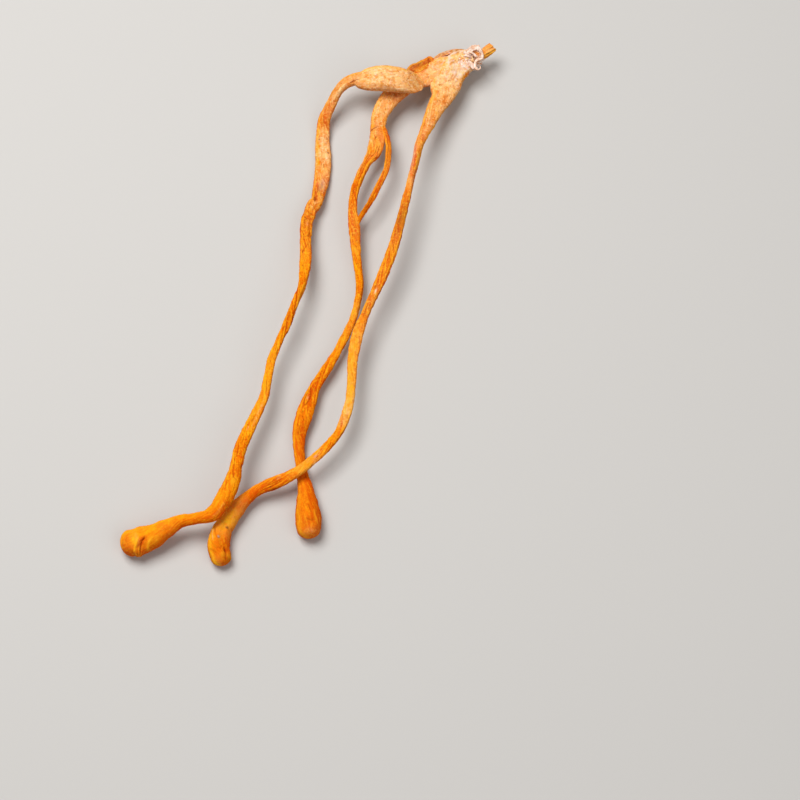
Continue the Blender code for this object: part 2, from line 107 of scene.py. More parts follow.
FRONT_STEM: tuple[Section, ...] = (
    (26.0, 40.6, 3.3, 3.0, 2.2), (24.4, 39.8, 3.3, 3.3, 2.2), (22.5, 38.9, 3.2, 4.5, 2.1),
    (21.1, 37.1, 3.2, 4.6, 2.0), (20.2, 35.1, 3.2, 4.8, 1.7), (19.8, 33.2, 3.5, 3.6, 1.6),
    (18.9, 31.4, 3.8, 2.9, 1.5), (18.0, 29.2, 4.1, 2.3, 1.3), (17.0, 26.6, 4.4, 1.7, 1.2, 10),
    (16.1, 24.2, 4.6, 1.3, 1.3, 25), (15.6, 21.5, 4.8, 1.0, 1.4, 35), (15.0, 19.0, 4.9, 1.0, 1.3, 25),
    (14.3, 15.8, 5.0, 1.2, 1.1, 10), (13.5, 12.3, 5.0, 1.4, 1.0), (12.75, 9.15, 5.0, 1.5, 1.0),
    (11.84, 5.95, 4.9, 1.65, 1.0), (10.65, 2.75, 4.7, 1.65, 1.0), (9.3, -0.45, 4.5, 1.35, 1.1, 10),
    (8.1, -3.2, 4.3, 1.3, 1.1, 10), (7.1, -5.9, 4.2, 1.7, 1.0), (6.5, -8.4, 4.1, 1.8, 1.0),
    (6.1, -11.2, 4.0, 1.5, 1.0), (6.0, -14.2, 3.9, 1.4, 1.0), (5.7, -17.4, 3.9, 1.4, 1.0),
    (5.1, -19.7, 3.8, 1.5, 1.0), (4.0, -22.3, 3.7, 1.3, 1.0, 10), (2.3, -24.4, 3.6, 1.4, 1.0),
    (0.3, -26.35, 3.5, 1.4, 1.0), (-1.8, -27.95, 3.2, 1.6, 1.1), (-3.85, -29.05, 2.9, 1.8, 1.2),
    (-5.7, -29.75, 2.5, 2.0, 1.3), (-7.6, -30.4, 2.1, 1.7, 1.4), (-9.0, -31.4, 1.8, 1.8, 1.6),
    (-10.5, -32.8, 1.6, 2.4, 2.1), (-11.9, -34.8, 1.4, 2.8, 2.6), (-13.0, -36.8, 1.4, 3.0, 2.9),
    (-13.35, -38.8, 1.4, 3.25, 3.0), (-13.0, -40.65, 1.3, 3.0, 2.7),
)
# The rolled edge along the sheet's top, and the flat band that runs down from it over the arm.
BASE_ROLL: tuple[Section, ...] = (
    (24.0, 40.95, 3.2, 0.6, 0.8), (22.5, 41.15, 3.1, 0.8, 0.9), (21.0, 40.95, 3.0, 0.9, 0.9),
    (19.6, 40.45, 2.9, 0.9, 0.9), (18.6, 39.8, 2.8, 0.8, 0.8),
)
BASE_BAND: tuple[Section, ...] = (
    (18.2, 39.3, 3.2, 2.1, 0.9), (17.1, 38.5, 3.4, 2.1, 0.9), (16.1, 38.1, 3.5, 1.9, 0.9),
    (15.2, 37.9, 3.4, 1.6, 0.8), (14.5, 37.5, 3.2, 1.1, 0.6),
)
STUB: tuple[Section, ...] = (
    (25.0, 39.5, 3.1, 1.1, 1.3), (25.95, 40.35, 3.3, 1.2, 1.4), (26.8, 41.0, 3.5, 1.6, 1.5, 10),
    (27.6, 41.6, 3.6, 1.5, 1.4, 20),
)
CURL: tuple[Section, ...] = (
    (26.0, 40.0, 4.4, 0.35, 0.3), (26.02, 39.65, 4.35, 0.5, 0.32), (25.75, 39.3, 4.4, 0.6, 0.32),
    (25.35, 39.08, 4.45, 0.55, 0.3), (25.02, 38.8, 4.45, 0.42, 0.28), (24.85, 38.4, 4.4, 0.32, 0.26),
    (24.82, 38.0, 4.4, 0.3, 0.25), (24.95, 37.65, 4.35, 0.32, 0.25), (25.22, 37.45, 4.3, 0.34, 0.26),
    (25.5, 37.5, 4.25, 0.32, 0.25), (25.68, 37.75, 4.2, 0.28, 0.25), (25.68, 38.0, 4.15, 0.22, 0.22),
)
# Torn flaps and strips that lie on the crust.
FLAPS: tuple[tuple[Section, ...], ...] = (
    (
        (23.95, 40.15, 4.7, 0.4, 0.26), (24.25, 40.55, 4.88, 0.8, 0.26, 5),
        (24.65, 40.82, 4.98, 1.0, 0.28, 12), (25.1, 40.84, 5.0, 0.9, 0.28, -5),
        (25.45, 40.68, 4.92, 0.8, 0.26, 12), (25.75, 40.35, 4.75, 0.55, 0.26, 5),
        (25.95, 39.95, 4.5, 0.35, 0.26),
    ),
    (
        (23.75, 40.3, 4.75, 0.3, 0.25), (24.1, 40.12, 4.9, 0.42, 0.28, -10), (24.5, 39.88, 4.92, 0.4, 0.28),
        (24.85, 39.62, 4.72, 0.34, 0.26, 10), (25.1, 39.38, 4.5, 0.25, 0.24),
    ),
    (
        (23.1, 39.72, 4.3, 0.25, 0.24), (23.6, 39.62, 4.58, 0.36, 0.26), (24.0, 39.5, 4.6, 0.34, 0.26, 10),
        (24.3, 39.36, 4.5, 0.22, 0.24),
    ),
    (
        (23.9, 38.85, 4.3, 0.4, 0.25), (24.2, 38.45, 4.3, 0.72, 0.27), (24.45, 38.05, 4.15, 0.66, 0.26),
        (24.6, 37.75, 4.0, 0.35, 0.24),
    ),
)
# Lumps of the crust: middle, then half sizes across, along and up.
CRUST_LUMPS: tuple[tuple[Point, Point], ...] = (
    ((24.5, 40.35, 2.2), (1.2, 1.5, 2.7)),
    ((25.1, 40.85, 3.9), (0.85, 0.8, 1.0)),
    ((24.3, 40.7, 2.9), (0.9, 0.8, 1.3)),
    ((24.3, 39.2, 3.2), (0.9, 0.8, 1.1)),
    ((25.3, 40.3, 4.0), (0.7, 0.8, 0.8)),
    ((25.1, 40.1, 1.5), (0.7, 0.8, 1.5)),
    ((23.8, 40.1, 4.1), (0.7, 0.7, 0.7)),
    ((25.5, 39.7, 3.7), (0.7, 0.8, 0.9)),
)


class End(Enum):
    """How a tube of flesh closes."""

    TIP = "a thin torn tip"
    CLUB = "the round end of a club head"
    JOINT = "a flat face that meets the next piece"
    BREAK = "a broken end, hollowed and jagged"


class Mark(Enum):
    """What a local mark on the skin is, and the attribute that colours it."""

    # CREASE: the dark of creases, cracks and hollows: painted shade, and the cracks' own darker colour.
    CREASE = "crease"
    SPECK = "stain"
    RESIDUE = "bloom"
    # BLUSH: the flesh's ruddier tone, partly its own and partly painted shade.
    BLUSH = "ruddy"
    PALE = "pale"
    # GLOW: painted glow and highlights, on lit edges, lit tops and ridges, and over shaded parts.
    GLOW = "painted_glow"


# The looks of the skin at each point; "smooth" is the smoothness of a head's skin.
LOOKS = (*(mark.value for mark in Mark), "smooth")


@dataclass(frozen=True)
class Line:
    """A crease, ridge or streak of the upper skin, in millimetres.

    Its path runs through (distance along the piece, offset from its middle) points, with offsets above 0
    towards the first edge. A negative depth is a ridge. The lip is swollen skin beside a crease.
    """

    mark: Mark
    path: tuple[tuple[float, float], ...]
    depth: float
    width: float
    strength: float
    lip: float = 0.0


@dataclass(frozen=True)
class Spot:
    """A mark on the upper skin, at a distance along the piece and an offset from its middle, in mm."""

    mark: Mark
    at: float
    offset: float
    length: float
    breadth: float
    strength: float
    depth: float = 0.0


@dataclass(frozen=True)
class Tone:
    """The look of the skin at a distance along a piece; each value runs smoothly on to the next."""

    at: float
    pale: float
    # The flesh's own ruddy tone; where a stretch lies in shade, the raised value there is painted shade.
    ruddy: float
    bloom: float = 0.0
    furrow: float = 0.25
    crumple: float = 0.0
    wrinkle: float = 0.35


@dataclass(frozen=True)
class Crack:
    """A crack or a recess in the top of the crust, from one point to another as seen from above."""

    start: tuple[float, float]
    end: tuple[float, float]
    width: float
    depth: float
    # How dark the painted shade in it is.
    dark: float
    warm: float = 0.0


def marked(kind: type, groups: dict[Mark, tuple[tuple[Any, ...], ...]]) -> tuple[Any, ...]:
    """The lines or the spots of a piece, from a row of their other values for each, by mark."""
    return tuple(kind(mark, *row) for mark, rows in groups.items() for row in rows)


def toned(*rows: tuple[float, ...]) -> tuple[Tone, ...]:
    """The tones of a piece, from a row of values for each."""
    return tuple(Tone(*row) for row in rows)


@dataclass(frozen=True)
class Weave:
    """A pattern of noise: millimetres between its lumps across and along a piece, and where it starts."""

    across: float
    along: float
    shift: float = 0.0
    start: float = 0.0


class Grain:
    """Smooth noise in space, worked out for many points at once and the same at each run."""

    CORNERS = tuple(itertools.product((0, 1), repeat=3))
    SLOPES = 256
    STEEPNESS = 1.6

    def __init__(self, seed: int) -> None:
        """Draws the slopes of the noise.

        Args:
            seed: Which noise it is.
        """
        draw = np.random.default_rng(seed)
        self.order = draw.permutation(self.SLOPES)
        slopes = draw.normal(size=(self.SLOPES, 3))
        self.slopes = slopes / np.linalg.norm(slopes, axis=1)[:, None]

    def at(self, *place: np.ndarray) -> np.ndarray:
        """The noise at each point.

        Args:
            place: The points' three coordinates, which may be arrays of any shapes that fit together.

        Returns:
            Values from about -1 to 1, in their common shape.
        """
        x, y, z = np.broadcast_arrays(*place)
        cells = [np.floor(v).astype(int) for v in (x, y, z)]
        inside = [v - cell for v, cell in zip((x, y, z), cells)]
        eased = [v ** 3 * (v * (6 * v - 15) + 10) for v in inside]
        total = np.zeros(x.shape)
        for corner in self.CORNERS:
            index = np.zeros(x.shape, int)
            for cell, step in zip(cells, corner):
                index = self.order[(index + cell + step) % self.SLOPES]
            weight = np.ones(x.shape)
            slope = np.zeros(x.shape)
            for axis, step in enumerate(corner):
                weight = weight * (eased[axis] if step else 1 - eased[axis])
                slope = slope + self.slopes[index, axis] * (inside[axis] - step)
            total += weight * slope
        return total * self.STEEPNESS

    def on(self, weave: Weave, x: np.ndarray, y: np.ndarray, along: np.ndarray) -> np.ndarray:
        """The noise of a pattern at points that are given in millimetres across, up and along a piece."""
        return self.at(x / weave.across + weave.shift, y / weave.across, along / weave.along + weave.start)

    def creases(self, width: float, weave: Weave, *place: np.ndarray) -> np.ndarray:
        """Thin lines where a pattern passes zero, 1 on them and 0 from a share of its height away."""
        return np.clip(1 - np.abs(self.on(weave, *place)) / width, 0, 1) ** 2


def ramp(value: np.ndarray, low: float, high: float) -> np.ndarray:
    """A smooth step from 0 at low to 1 at high."""
    share = np.clip((value - low) / (high - low), 0, 1)
    return share * share * (3 - 2 * share)


def placed(points: np.ndarray) -> np.ndarray:
    """Points of the tables in Blender's metres, none of them below the surface.

    Args:
        points: The points in millimetres.

    Returns:
        The same points in metres, from the middle of the cluster.
    """
    moved = points - MIDDLE
    moved[..., 2] = np.maximum(moved[..., 2], 0.0)
    return moved * MM


def deselect() -> None:
    """Leaves object mode with nothing selected."""
    if bpy.context.object and bpy.context.object.mode != "OBJECT":
        bpy.ops.object.mode_set(mode="OBJECT")
    bpy.ops.object.select_all(action="DESELECT")


def only(thing: bpy.types.Object) -> None:
    """Selects one object and makes it active.

    Args:
        thing: The object.
    """
    deselect()
    thing.select_set(True)
    bpy.context.view_layer.objects.active = thing


def move_points(thing: bpy.types.Object, points: np.ndarray) -> None:
    """Moves the mesh's points, given in metres and in the mesh's own order."""
    thing.data.vertices.foreach_set("co", points.astype(np.float32).ravel())
    thing.data.update()


def mesh_points(thing: bpy.types.Object) -> np.ndarray:
    """The mesh's points.

    Args:
        thing: The object.

    Returns:
        One row for each point, in metres.
    """
    flat = np.empty(len(thing.data.vertices) * 3, np.float32)
    thing.data.vertices.foreach_get("co", flat)
    return flat.reshape(-1, 3).astype(float)


def write_attribute(thing: bpy.types.Object, name: str, values: np.ndarray) -> None:
    """Stores one number or one vector for each point of the mesh.

    Args:
        thing: The object whose mesh gets the attribute.
        name: The attribute's name, which the material reads.
        values: One row or one number for each point.
    """
    wide = values.ndim > 1
    attributes = thing.data.attributes
    made = attributes.get(name) or attributes.new(name, "FLOAT_VECTOR" if wide else "FLOAT", "POINT")
    made.data.foreach_set("vector" if wide else "value", values.astype(np.float32).ravel())


def read_attribute(thing: bpy.types.Object, name: str) -> np.ndarray:
    """The values of a point attribute.

    Args:
        thing: The object.
        name: The attribute's name.

    Returns:
        One row or one number for each point.
    """
    made = thing.data.attributes[name]
    wide = made.data_type == "FLOAT_VECTOR"
    count = len(thing.data.vertices)
    values = np.empty(count * (3 if wide else 1), np.float32)
    made.data.foreach_get("vector" if wide else "value", values)
    return values.reshape(count, 3) if wide else values


@dataclass
class Skin:
    """The skin of a tube as it is drawn on: arrays with a row for each ring and a column for each corner."""

    distance: np.ndarray
    x: np.ndarray
    upper: np.ndarray
    wander: np.ndarray
    blotch: np.ndarray
    depth: np.ndarray
    marks: dict[str, np.ndarray]

    # A line thins towards its ends, to this share of its width, as this power of a sine.
    LINE_END = 0.35
    LINE_POWER = 0.7
    END_SHARE = 0.001
    # Rings are drawn on as far as so many of the line's widths, and millimetres, from its path.
    LINE_WIDTHS = 4
    LINE_MARGIN = 0.4
    LIP_REACH = 3.0
    SPOT_REACH = 3
    RAGGED_SPOT = 0.7

    def rows(self, low: float, high: float) -> slice:
        """The rings between two distances."""
        return slice(*np.searchsorted(self.distance, (low, high)))

    def draw_line(self, line: Line) -> None:
        """Cuts or raises a line in the skin and colours it.

        Args:
            line: The line.
        """
        path = np.array(line.path)
        margin = self.LINE_WIDTHS * line.width + self.LINE_MARGIN
        rows = self.rows(path[:, 0].min() - margin, path[:, 0].max() + margin)
        x = self.x[rows] + self.wander[rows]
        along = np.broadcast_to(self.distance[rows, None], x.shape)
        gap, share, side = np.full(x.shape, np.inf), np.zeros(x.shape), np.zeros(x.shape)
        lengths = np.linalg.norm(np.diff(path, axis=0), axis=1)
        done = 0.0
        for (start, end), length in zip(itertools.pairwise(path), lengths):
            run = end - start
            ahead, beside = along - start[0], x - start[1]
            part = np.clip((ahead * run[0] + beside * run[1]) / (run @ run), 0, 1)
            away = np.hypot(ahead - part * run[0], beside - part * run[1])
            nearer = away < gap
            gap = np.where(nearer, away, gap)
            share = np.where(nearer, (done + part * length) / lengths.sum(), share)
            side = np.where(nearer, np.sign(beside * run[0] - ahead * run[1]), side)
            done += length
        middle = np.sin(np.pi * np.clip(share, self.END_SHARE, 1 - self.END_SHARE))
        taper = self.LINE_END + (1 - self.LINE_END) * middle ** self.LINE_POWER
        drawn = np.exp(-(gap / (line.width * taper)) ** 2) * self.upper[rows]
        lip = np.exp(-(gap / (self.LIP_REACH * line.width)) ** 2) * (1 - drawn) * np.clip(side, 0, 1)
        self.depth[rows] += line.lip * lip * self.upper[rows] - line.depth * drawn
        self.marks[line.mark.value][rows] += line.strength * drawn

    def draw_spot(self, spot: Spot) -> None:
        """Presses a spot into the skin and colours it, with a ragged edge.

        Args:
            spot: The spot.
        """
        reach = self.SPOT_REACH * spot.length
        rows = self.rows(spot.at - reach, spot.at + reach)
        ahead = (self.distance[rows, None] - spot.at) / spot.length
        beside = (self.x[rows] - spot.offset) / spot.breadth
        drawn = np.exp(-ahead ** 2 - beside ** 2) * self.upper[rows]
        self.depth[rows] -= spot.depth * drawn
        ragged = np.clip(drawn * (1 + self.RAGGED_SPOT * self.blotch[rows]), 0, 1)
        self.marks[spot.mark.value][rows] += spot.strength * ragged


@dataclass
class Ribbon:
    """A closed tube of dried flesh through the sections of a route, with folded, felted skin."""

    name: str
    route: tuple[Section, ...]
    seed: float
    tones: tuple[Tone, ...]
    lines: tuple[Line, ...] = ()
    spots: tuple[Spot, ...] = ()
    first: End = End.TIP
    last: End = End.TIP
    start_near: Point | None = None
    stop_near: Point | None = None
    sides: int = 96
    step: float = 0.12
    billow: float = 0.085
    fibre: float = 0.028
    felt: float = 0.024
    raggedness: float = 0.05
    slant: float = 0.25
    flat: float = 0.8
    ridges: int = 0
    # How dark the painted shade in the hollows of the furrows and ridges is.
    shade: float = 0.4

    # The furrows and swellings, as the solids have them.
    FURROW_DEPTH = 0.36
    FURROW_SHARPNESS = 5
    FURROW_WANDER = 0.75
    UNDER_WANDER = 1.2
    WANDER_LENGTH = 9.0
    LUMP_DEPTH = 0.06
    LUMP_LENGTH = 4.0
    LUMP_TWIST = 0.8
    LUMP_SEED = 7.0
    HEAD_PLAIN = 11.25
    HEAD_FADE = 10.0
    HEAD_REACH = 0.42
    TIP_REACH = 0.3
    RIDGE_DEPTH = 0.16
    RIDGE_BREAK = 0.3
    RIDGE_RATE = 2
    JAG = 0.28
    JAG_REACH = 10
    JAG_RATE = 1.6
    JAG_PLACE = 0.5
    JAG_SEED = 5
    # The rings that close a broken end: how far on each is, in the last ring's widths, and its size.
    BROKEN = ((0.05, 0.93), (0.02, 0.8), (-0.12, 0.55), (-0.18, 0.25), (-0.2, 0.0))
    CLUB_RINGS = 18
    TIP_RINGS = 6
    # The skin moves in or out by this share of the tube's half size at most.
    THINNEST = 0.45
    TINY = 1e-9

    # Patterns of the skin, and how thin their creases are.
    LONG_CREASES = (0.25, Weave(0.6, 5.0))
    SHORT_CREASES = (0.22, Weave(0.3, 2.2, shift=9))
    KINKS = (0.30, Weave(0.6, 0.75, shift=20))
    FIBRES = Weave(0.14, 1.6)
    FELT = Weave(0.3, 0.3)
    PUCKERS = Weave(0.8, 1.1, start=60)
    KNOBS = Weave(0.7, 1.0, start=40)
    DENTS = Weave(1.3, 1.3, start=80)
    PALE_PATCHES = Weave(0.8, 2.0, start=11)
    RUDDY_PATCHES = Weave(0.7, 2.5, start=23)
    RESIDUE_PATCHES = Weave(0.4, 0.6, start=31)
    GLOW_PATCHES = Weave(1.0, 1.5)
    SPECKS = Weave(0.22, 0.3, start=55)
    WANDER = Weave(0.5, 0.6, start=90)
    TREMOR = (0.15, 0.2)  # across and along, for the finest wandering of a line
    BLOTCHES = Weave(0.3, 0.4, start=70)
    # Both sizes of the notches in the edges: two numbers for where the noise is, its length and its share.
    NOTCHES = ((5, 0.5, 0.9, 1.0), (9, 3.5, 0.35, 0.5))
    NOTCH_SHARPNESS = 4

    # Depths in millimetres.
    PUCKER_DEPTH = 0.03
    KNOB_DEPTH = 0.16
    KINK_DEPTH = 0.07
    DENT_DEPTH = 0.08
    WANDER_DEPTH = 0.07
    TREMOR_DEPTH = 0.03
    # Beside the long creases, the short ones are this deep, and a head keeps this share of its wrinkles.
    SHORT_DEPTH = 0.6
    HEAD_WRINKLE = 0.15

    # Where marks start and are full, by sine or cosine of the angle, or by height of the noise.
    UPPER = (-0.5, 0.0)
    # UNDER, FLANK, EDGE and FAR_SIDE place painted shade; INNER, LIT_SIDE, HEAD_TOP and KNOB_TOP place
    # painted glow.
    UNDER = (-0.45, 0.3)
    FLANK = (0.7, 1.0)
    EDGE = (0.86, 1.0)
    INNER = ((0.45, 0.75), (0.82, 0.97))
    FAR_SIDE = (-0.2, 0.8)
    LIT_SIDE = (-0.4, 0.3)
    HEAD_TOP = (0.5, 1.0)
    KNOB_TOP = (0.1, 0.6)
    RESIDUE_TOP = (-0.2, 0.5)
    SPECK_TOP = (0.60, 0.8)
    # The way that the light falls on a head, across and up, which places its painted glow.
    LIGHT = (0.6, 0.8)
    # How much each cause adds to a mark.
    UNEVEN = 0.3
    SPECKLE = 0.4
    # CREASED darkens the long and short creases, the kinks and the edges with painted shade.
    CREASED = {"long": 0.45, "short": 0.35, "pale": -0.5, "kinks": 0.42, "edge": 0.22}
    # RUDDY: under, flank, head and knobs are painted shade; patches are the flesh's own uneven tone.
    RUDDY = {"under": 0.45, "flank": 0.35, "head": 0.60, "knobs": -0.45, "patches": 0.30}
    # GLOWING is painted glow: inside the edge on the lit side, on a head's lit top and on the knobs' tops.
    GLOWING = {"inner": 0.35, "patches": 0.25, "head": 0.14, "knobs": 0.3}

    def sections(self) -> np.ndarray:
        """The cross-sections a step apart, on one smooth curve through the route.

        Returns:
            One row for each ring.
        """
        rows = np.array([(*section, 0.0)[:6] for section in self.route])
        chord = np.linalg.norm(np.diff(rows[:, :3], axis=0), axis=1)
        at = np.concatenate([[0.0], np.cumsum(chord)])
        slope = np.gradient(rows, at, axis=0)
        places = np.linspace(0.0, at[-1], round(at[-1] / self.step) + 1)
        span = np.clip(np.searchsorted(at, places, side="right") - 1, 0, len(at) - 2)
        width = (at[span + 1] - at[span])[:, None]
        u = (places[:, None] - at[span][:, None]) / width
        return (
            (1 + 2 * u) * (1 - u) ** 2 * rows[span]
            + u * (1 - u) ** 2 * width * slope[span]
            + u ** 2 * (3 - 2 * u) * rows[span + 1]
            - u ** 2 * (1 - u) * width * slope[span + 1]
        )

    def closing(self, rings: np.ndarray, end: End) -> np.ndarray:
        """The rings that close the far end of a run of rings.

        Args:
            rings: The run, whose last row is the open end.
            end: How it closes.

        Returns:
            The further rows, the last of which has no size.
        """
        last, along = rings[-1], rings[-1] - rings[-2]
        forward = along[:3] / np.linalg.norm(along[:3])
        if end is End.JOINT:
            shape = [(0.0, 0.0)]
        elif end is End.BREAK:
            shape = self.BROKEN
        else:
            club = end is End.CLUB
            reach, count = (self.HEAD_REACH, self.CLUB_RINGS) if club else (self.TIP_REACH, self.TIP_RINGS)
            turns = [0.5 * math.pi * k / count for k in range(1, count)]
            shape = [*((reach * math.sin(turn), math.cos(turn)) for turn in turns), (reach, 0.0)]
        made = []
        for reach, size in shape:
            ring = last.copy()
            ring[:3] += forward * reach * last[3]
            ring[3:5] *= size
            made.append(ring)
        return np.array(made)

    def axes(self, rings: np.ndarray) -> tuple[np.ndarray, np.ndarray]:
        """The sideways and upward directions of each ring, square to the piece and turned with it.

        Args:
            rings: The rings.

        Returns:
            Both directions, one row for each ring.
        """
        forward = np.gradient(rings[:, :3], axis=0)
        forward /= np.linalg.norm(forward, axis=1)[:, None]
        side = np.cross(forward, (0.0, 0.0, 1.0))
        side /= np.linalg.norm(side, axis=1)[:, None]
        up = np.cross(side, forward)
        turn = np.radians(rings[:, 5])[:, None]
        return side * np.cos(turn) - up * np.sin(turn), up * np.cos(turn) + side * np.sin(turn)

    def furrow(self, distance: np.ndarray, turns: np.ndarray, depth: np.ndarray) -> np.ndarray:
        """Share of the radius that the two long furrows and the slow swellings leave.

        Args:
            distance: How far along each ring is.
            turns: The angle of each corner about the piece.
            depth: How deep the furrows are at each ring, from 0 to 1.

        Returns:
            The share for each ring and corner.
        """
        share = np.ones((len(distance), len(turns)))
        for row, (along, deep) in enumerate(zip(distance, depth)):
            drift = noise.noise((along / self.WANDER_LENGTH, self.seed, 0.0))
            top = np.clip(np.sin(turns - self.FURROW_WANDER * drift), 0, 1) ** self.FURROW_SHARPNESS
            under = np.clip(-np.sin(turns - self.UNDER_WANDER * drift), 0, 1) ** self.FURROW_SHARPNESS
            share[row] -= self.FURROW_DEPTH * deep * (top + under)
            place = (along / self.LUMP_LENGTH, self.seed)
            swelling = [noise.noise((*place, self.LUMP_SEED + self.LUMP_TWIST * c)) for c in np.cos(turns)]
            share[row] += self.LUMP_DEPTH * np.array(swelling)
        return share

    def tone(self, distance: np.ndarray) -> dict[str, np.ndarray]:
        """The tones at each ring.

        Args:
            distance: How far along each ring is.

        Returns:
            One column for each name.
        """
        at = [tone.at for tone in self.tones]
        names = [item.name for item in fields(Tone)][1:]
        rows = {name: np.interp(distance, at, [getattr(tone, name) for tone in self.tones]) for name in names}
        return {name: row[:, None] for name, row in rows.items()}

    def skin(self, distance: np.ndarray, x: np.ndarray, y: np.ndarray, sin: np.ndarray, cos: np.ndarray,
             stem: np.ndarray) -> Skin:
        """The felted, fibrous skin with its lines and spots.

        Args:
            distance: How far along each ring is.
            x: How far from the middle each corner is, sideways.
            y: How far from the middle each corner is, upwards.
            sin: Sine of each corner's angle, in one row.
            cos: Cosine of each corner's angle, in one row.
            stem: 1 for each ring of the stem, 0 for one of the head, in one column.

        Returns:
            The skin.
        """
        grain = Grain(int(self.seed))
        tone = self.tone(distance)
        along = np.broadcast_to(distance[:, None], x.shape)
        straight, leaning = (x, y, along), (x + self.slant * along, y, along)
        flank, head, crumple = np.abs(cos), 1 - stem, tone["crumple"]
        upper = ramp(sin, *self.UPPER) * np.ones(x.shape)
        loose = tone["wrinkle"] * (self.HEAD_WRINKLE + (1 - self.HEAD_WRINKLE) * stem)
        long_creases = grain.creases(*self.LONG_CREASES, *leaning)
        short_creases = grain.creases(*self.SHORT_CREASES, *leaning)
        kinks = grain.creases(*self.KINKS, *straight)
        knobs = grain.on(self.KNOBS, *straight)
        uneven = sum(
            share * grain.at(side * np.sign(cos), level, along / length)
            for side, level, length, share in self.NOTCHES
        )
        depth = (
            self.fibre * grain.on(self.FIBRES, *leaning)
            + self.felt * grain.on(self.FELT, *straight)
            + self.PUCKER_DEPTH * grain.on(self.PUCKERS, *straight)
            + self.DENT_DEPTH * head * grain.on(self.DENTS, *straight)
            + self.raggedness * flank ** self.NOTCH_SHARPNESS * uneven
            + crumple * (self.KNOB_DEPTH * knobs - self.KINK_DEPTH * kinks)
            - self.billow * loose * (long_creases + self.SHORT_DEPTH * short_creases)
        )
        creased, ruddy, glowing = self.CREASED, self.RUDDY, self.GLOWING
        # Where the painted glow lies: inside the edge on the lit side, and on a head where it faces the
        # light.
        inner = ramp(flank, *self.INNER[0]) * (1 - ramp(flank, *self.INNER[1])) * upper
        lit = glowing["inner"] + glowing["patches"] * grain.on(self.GLOW_PATCHES, *straight)
        towards_light = self.LIGHT[0] * cos + self.LIGHT[1] * sin
        marks = {
            "pale": tone["pale"] * (1 + self.UNEVEN * grain.on(self.PALE_PATCHES, *straight)),
            # The flesh's own ruddy tone and patches, and painted shade below, along the flanks, on a head's
            # far side and between the knobs.
            "ruddy": (
                tone["ruddy"]
                + ruddy["under"] * ramp(-sin, *self.UNDER)
                + ruddy["flank"] * ramp(flank, *self.FLANK)
                + ruddy["head"] * head * ramp(-cos, *self.FAR_SIDE)
                + ruddy["knobs"] * crumple * knobs
                + ruddy["patches"] * grain.on(self.RUDDY_PATCHES, *leaning)
            ),
            "bloom": tone["bloom"] * ramp(grain.on(self.RESIDUE_PATCHES, *straight), *self.RESIDUE_TOP),
            # Painted shade in the creases and kinks and along the edges.
            "crease": (
                loose * (1 + creased["pale"] * tone["pale"])
                * (creased["long"] * long_creases + creased["short"] * short_creases)
                + creased["kinks"] * crumple * kinks
                + creased["edge"] * ramp(flank, *self.EDGE) * stem
            ),
            # Painted glow.
            "painted_glow": (
                inner * ramp(cos, *self.LIT_SIDE) * lit
                + glowing["head"] * head * ramp(towards_light, *self.HEAD_TOP)
                + glowing["knobs"] * crumple * ramp(knobs, *self.KNOB_TOP)
            ),
            "stain": self.SPECKLE * ramp(grain.on(self.SPECKS, *straight), *self.SPECK_TOP) * upper * stem,
            "smooth": head * np.ones(x.shape),
        }
        tremor = grain.at(x / self.TREMOR[0], y, along / self.TREMOR[1])
        wander = self.WANDER_DEPTH * grain.on(self.WANDER, *straight) + self.TREMOR_DEPTH * tremor
        skin = Skin(distance, x, upper, wander, grain.on(self.BLOTCHES, *straight), depth, marks)
        for line in self.lines:
            skin.draw_line(line)
        for spot in self.spots:
            skin.draw_spot(spot)
        return skin

    def jag(self, rings: np.ndarray, closing: int, turns: np.ndarray) -> np.ndarray:
        """How far the torn edge of a broken end stands out.

        Args:
            rings: The tube's rings.
            closing: How many of them close the broken end.
            turns: The angle of each corner about the piece.

        Returns:
            Millimetres forward for each ring and corner.
        """
        torn = Grain(int(self.seed) + self.JAG_SEED)
        edge = torn.at(self.JAG_RATE * np.cos(turns), self.JAG_RATE * np.sin(turns), self.JAG_PLACE)
        start = len(rings) - closing
        near = np.clip(1 - np.abs(np.arange(len(rings)) - start) / self.JAG_REACH, 0, 1)
        lean = self.JAG * near * np.minimum(1, rings[:, 3] / rings[start - 1, 3])
        return lean[:, None] * edge

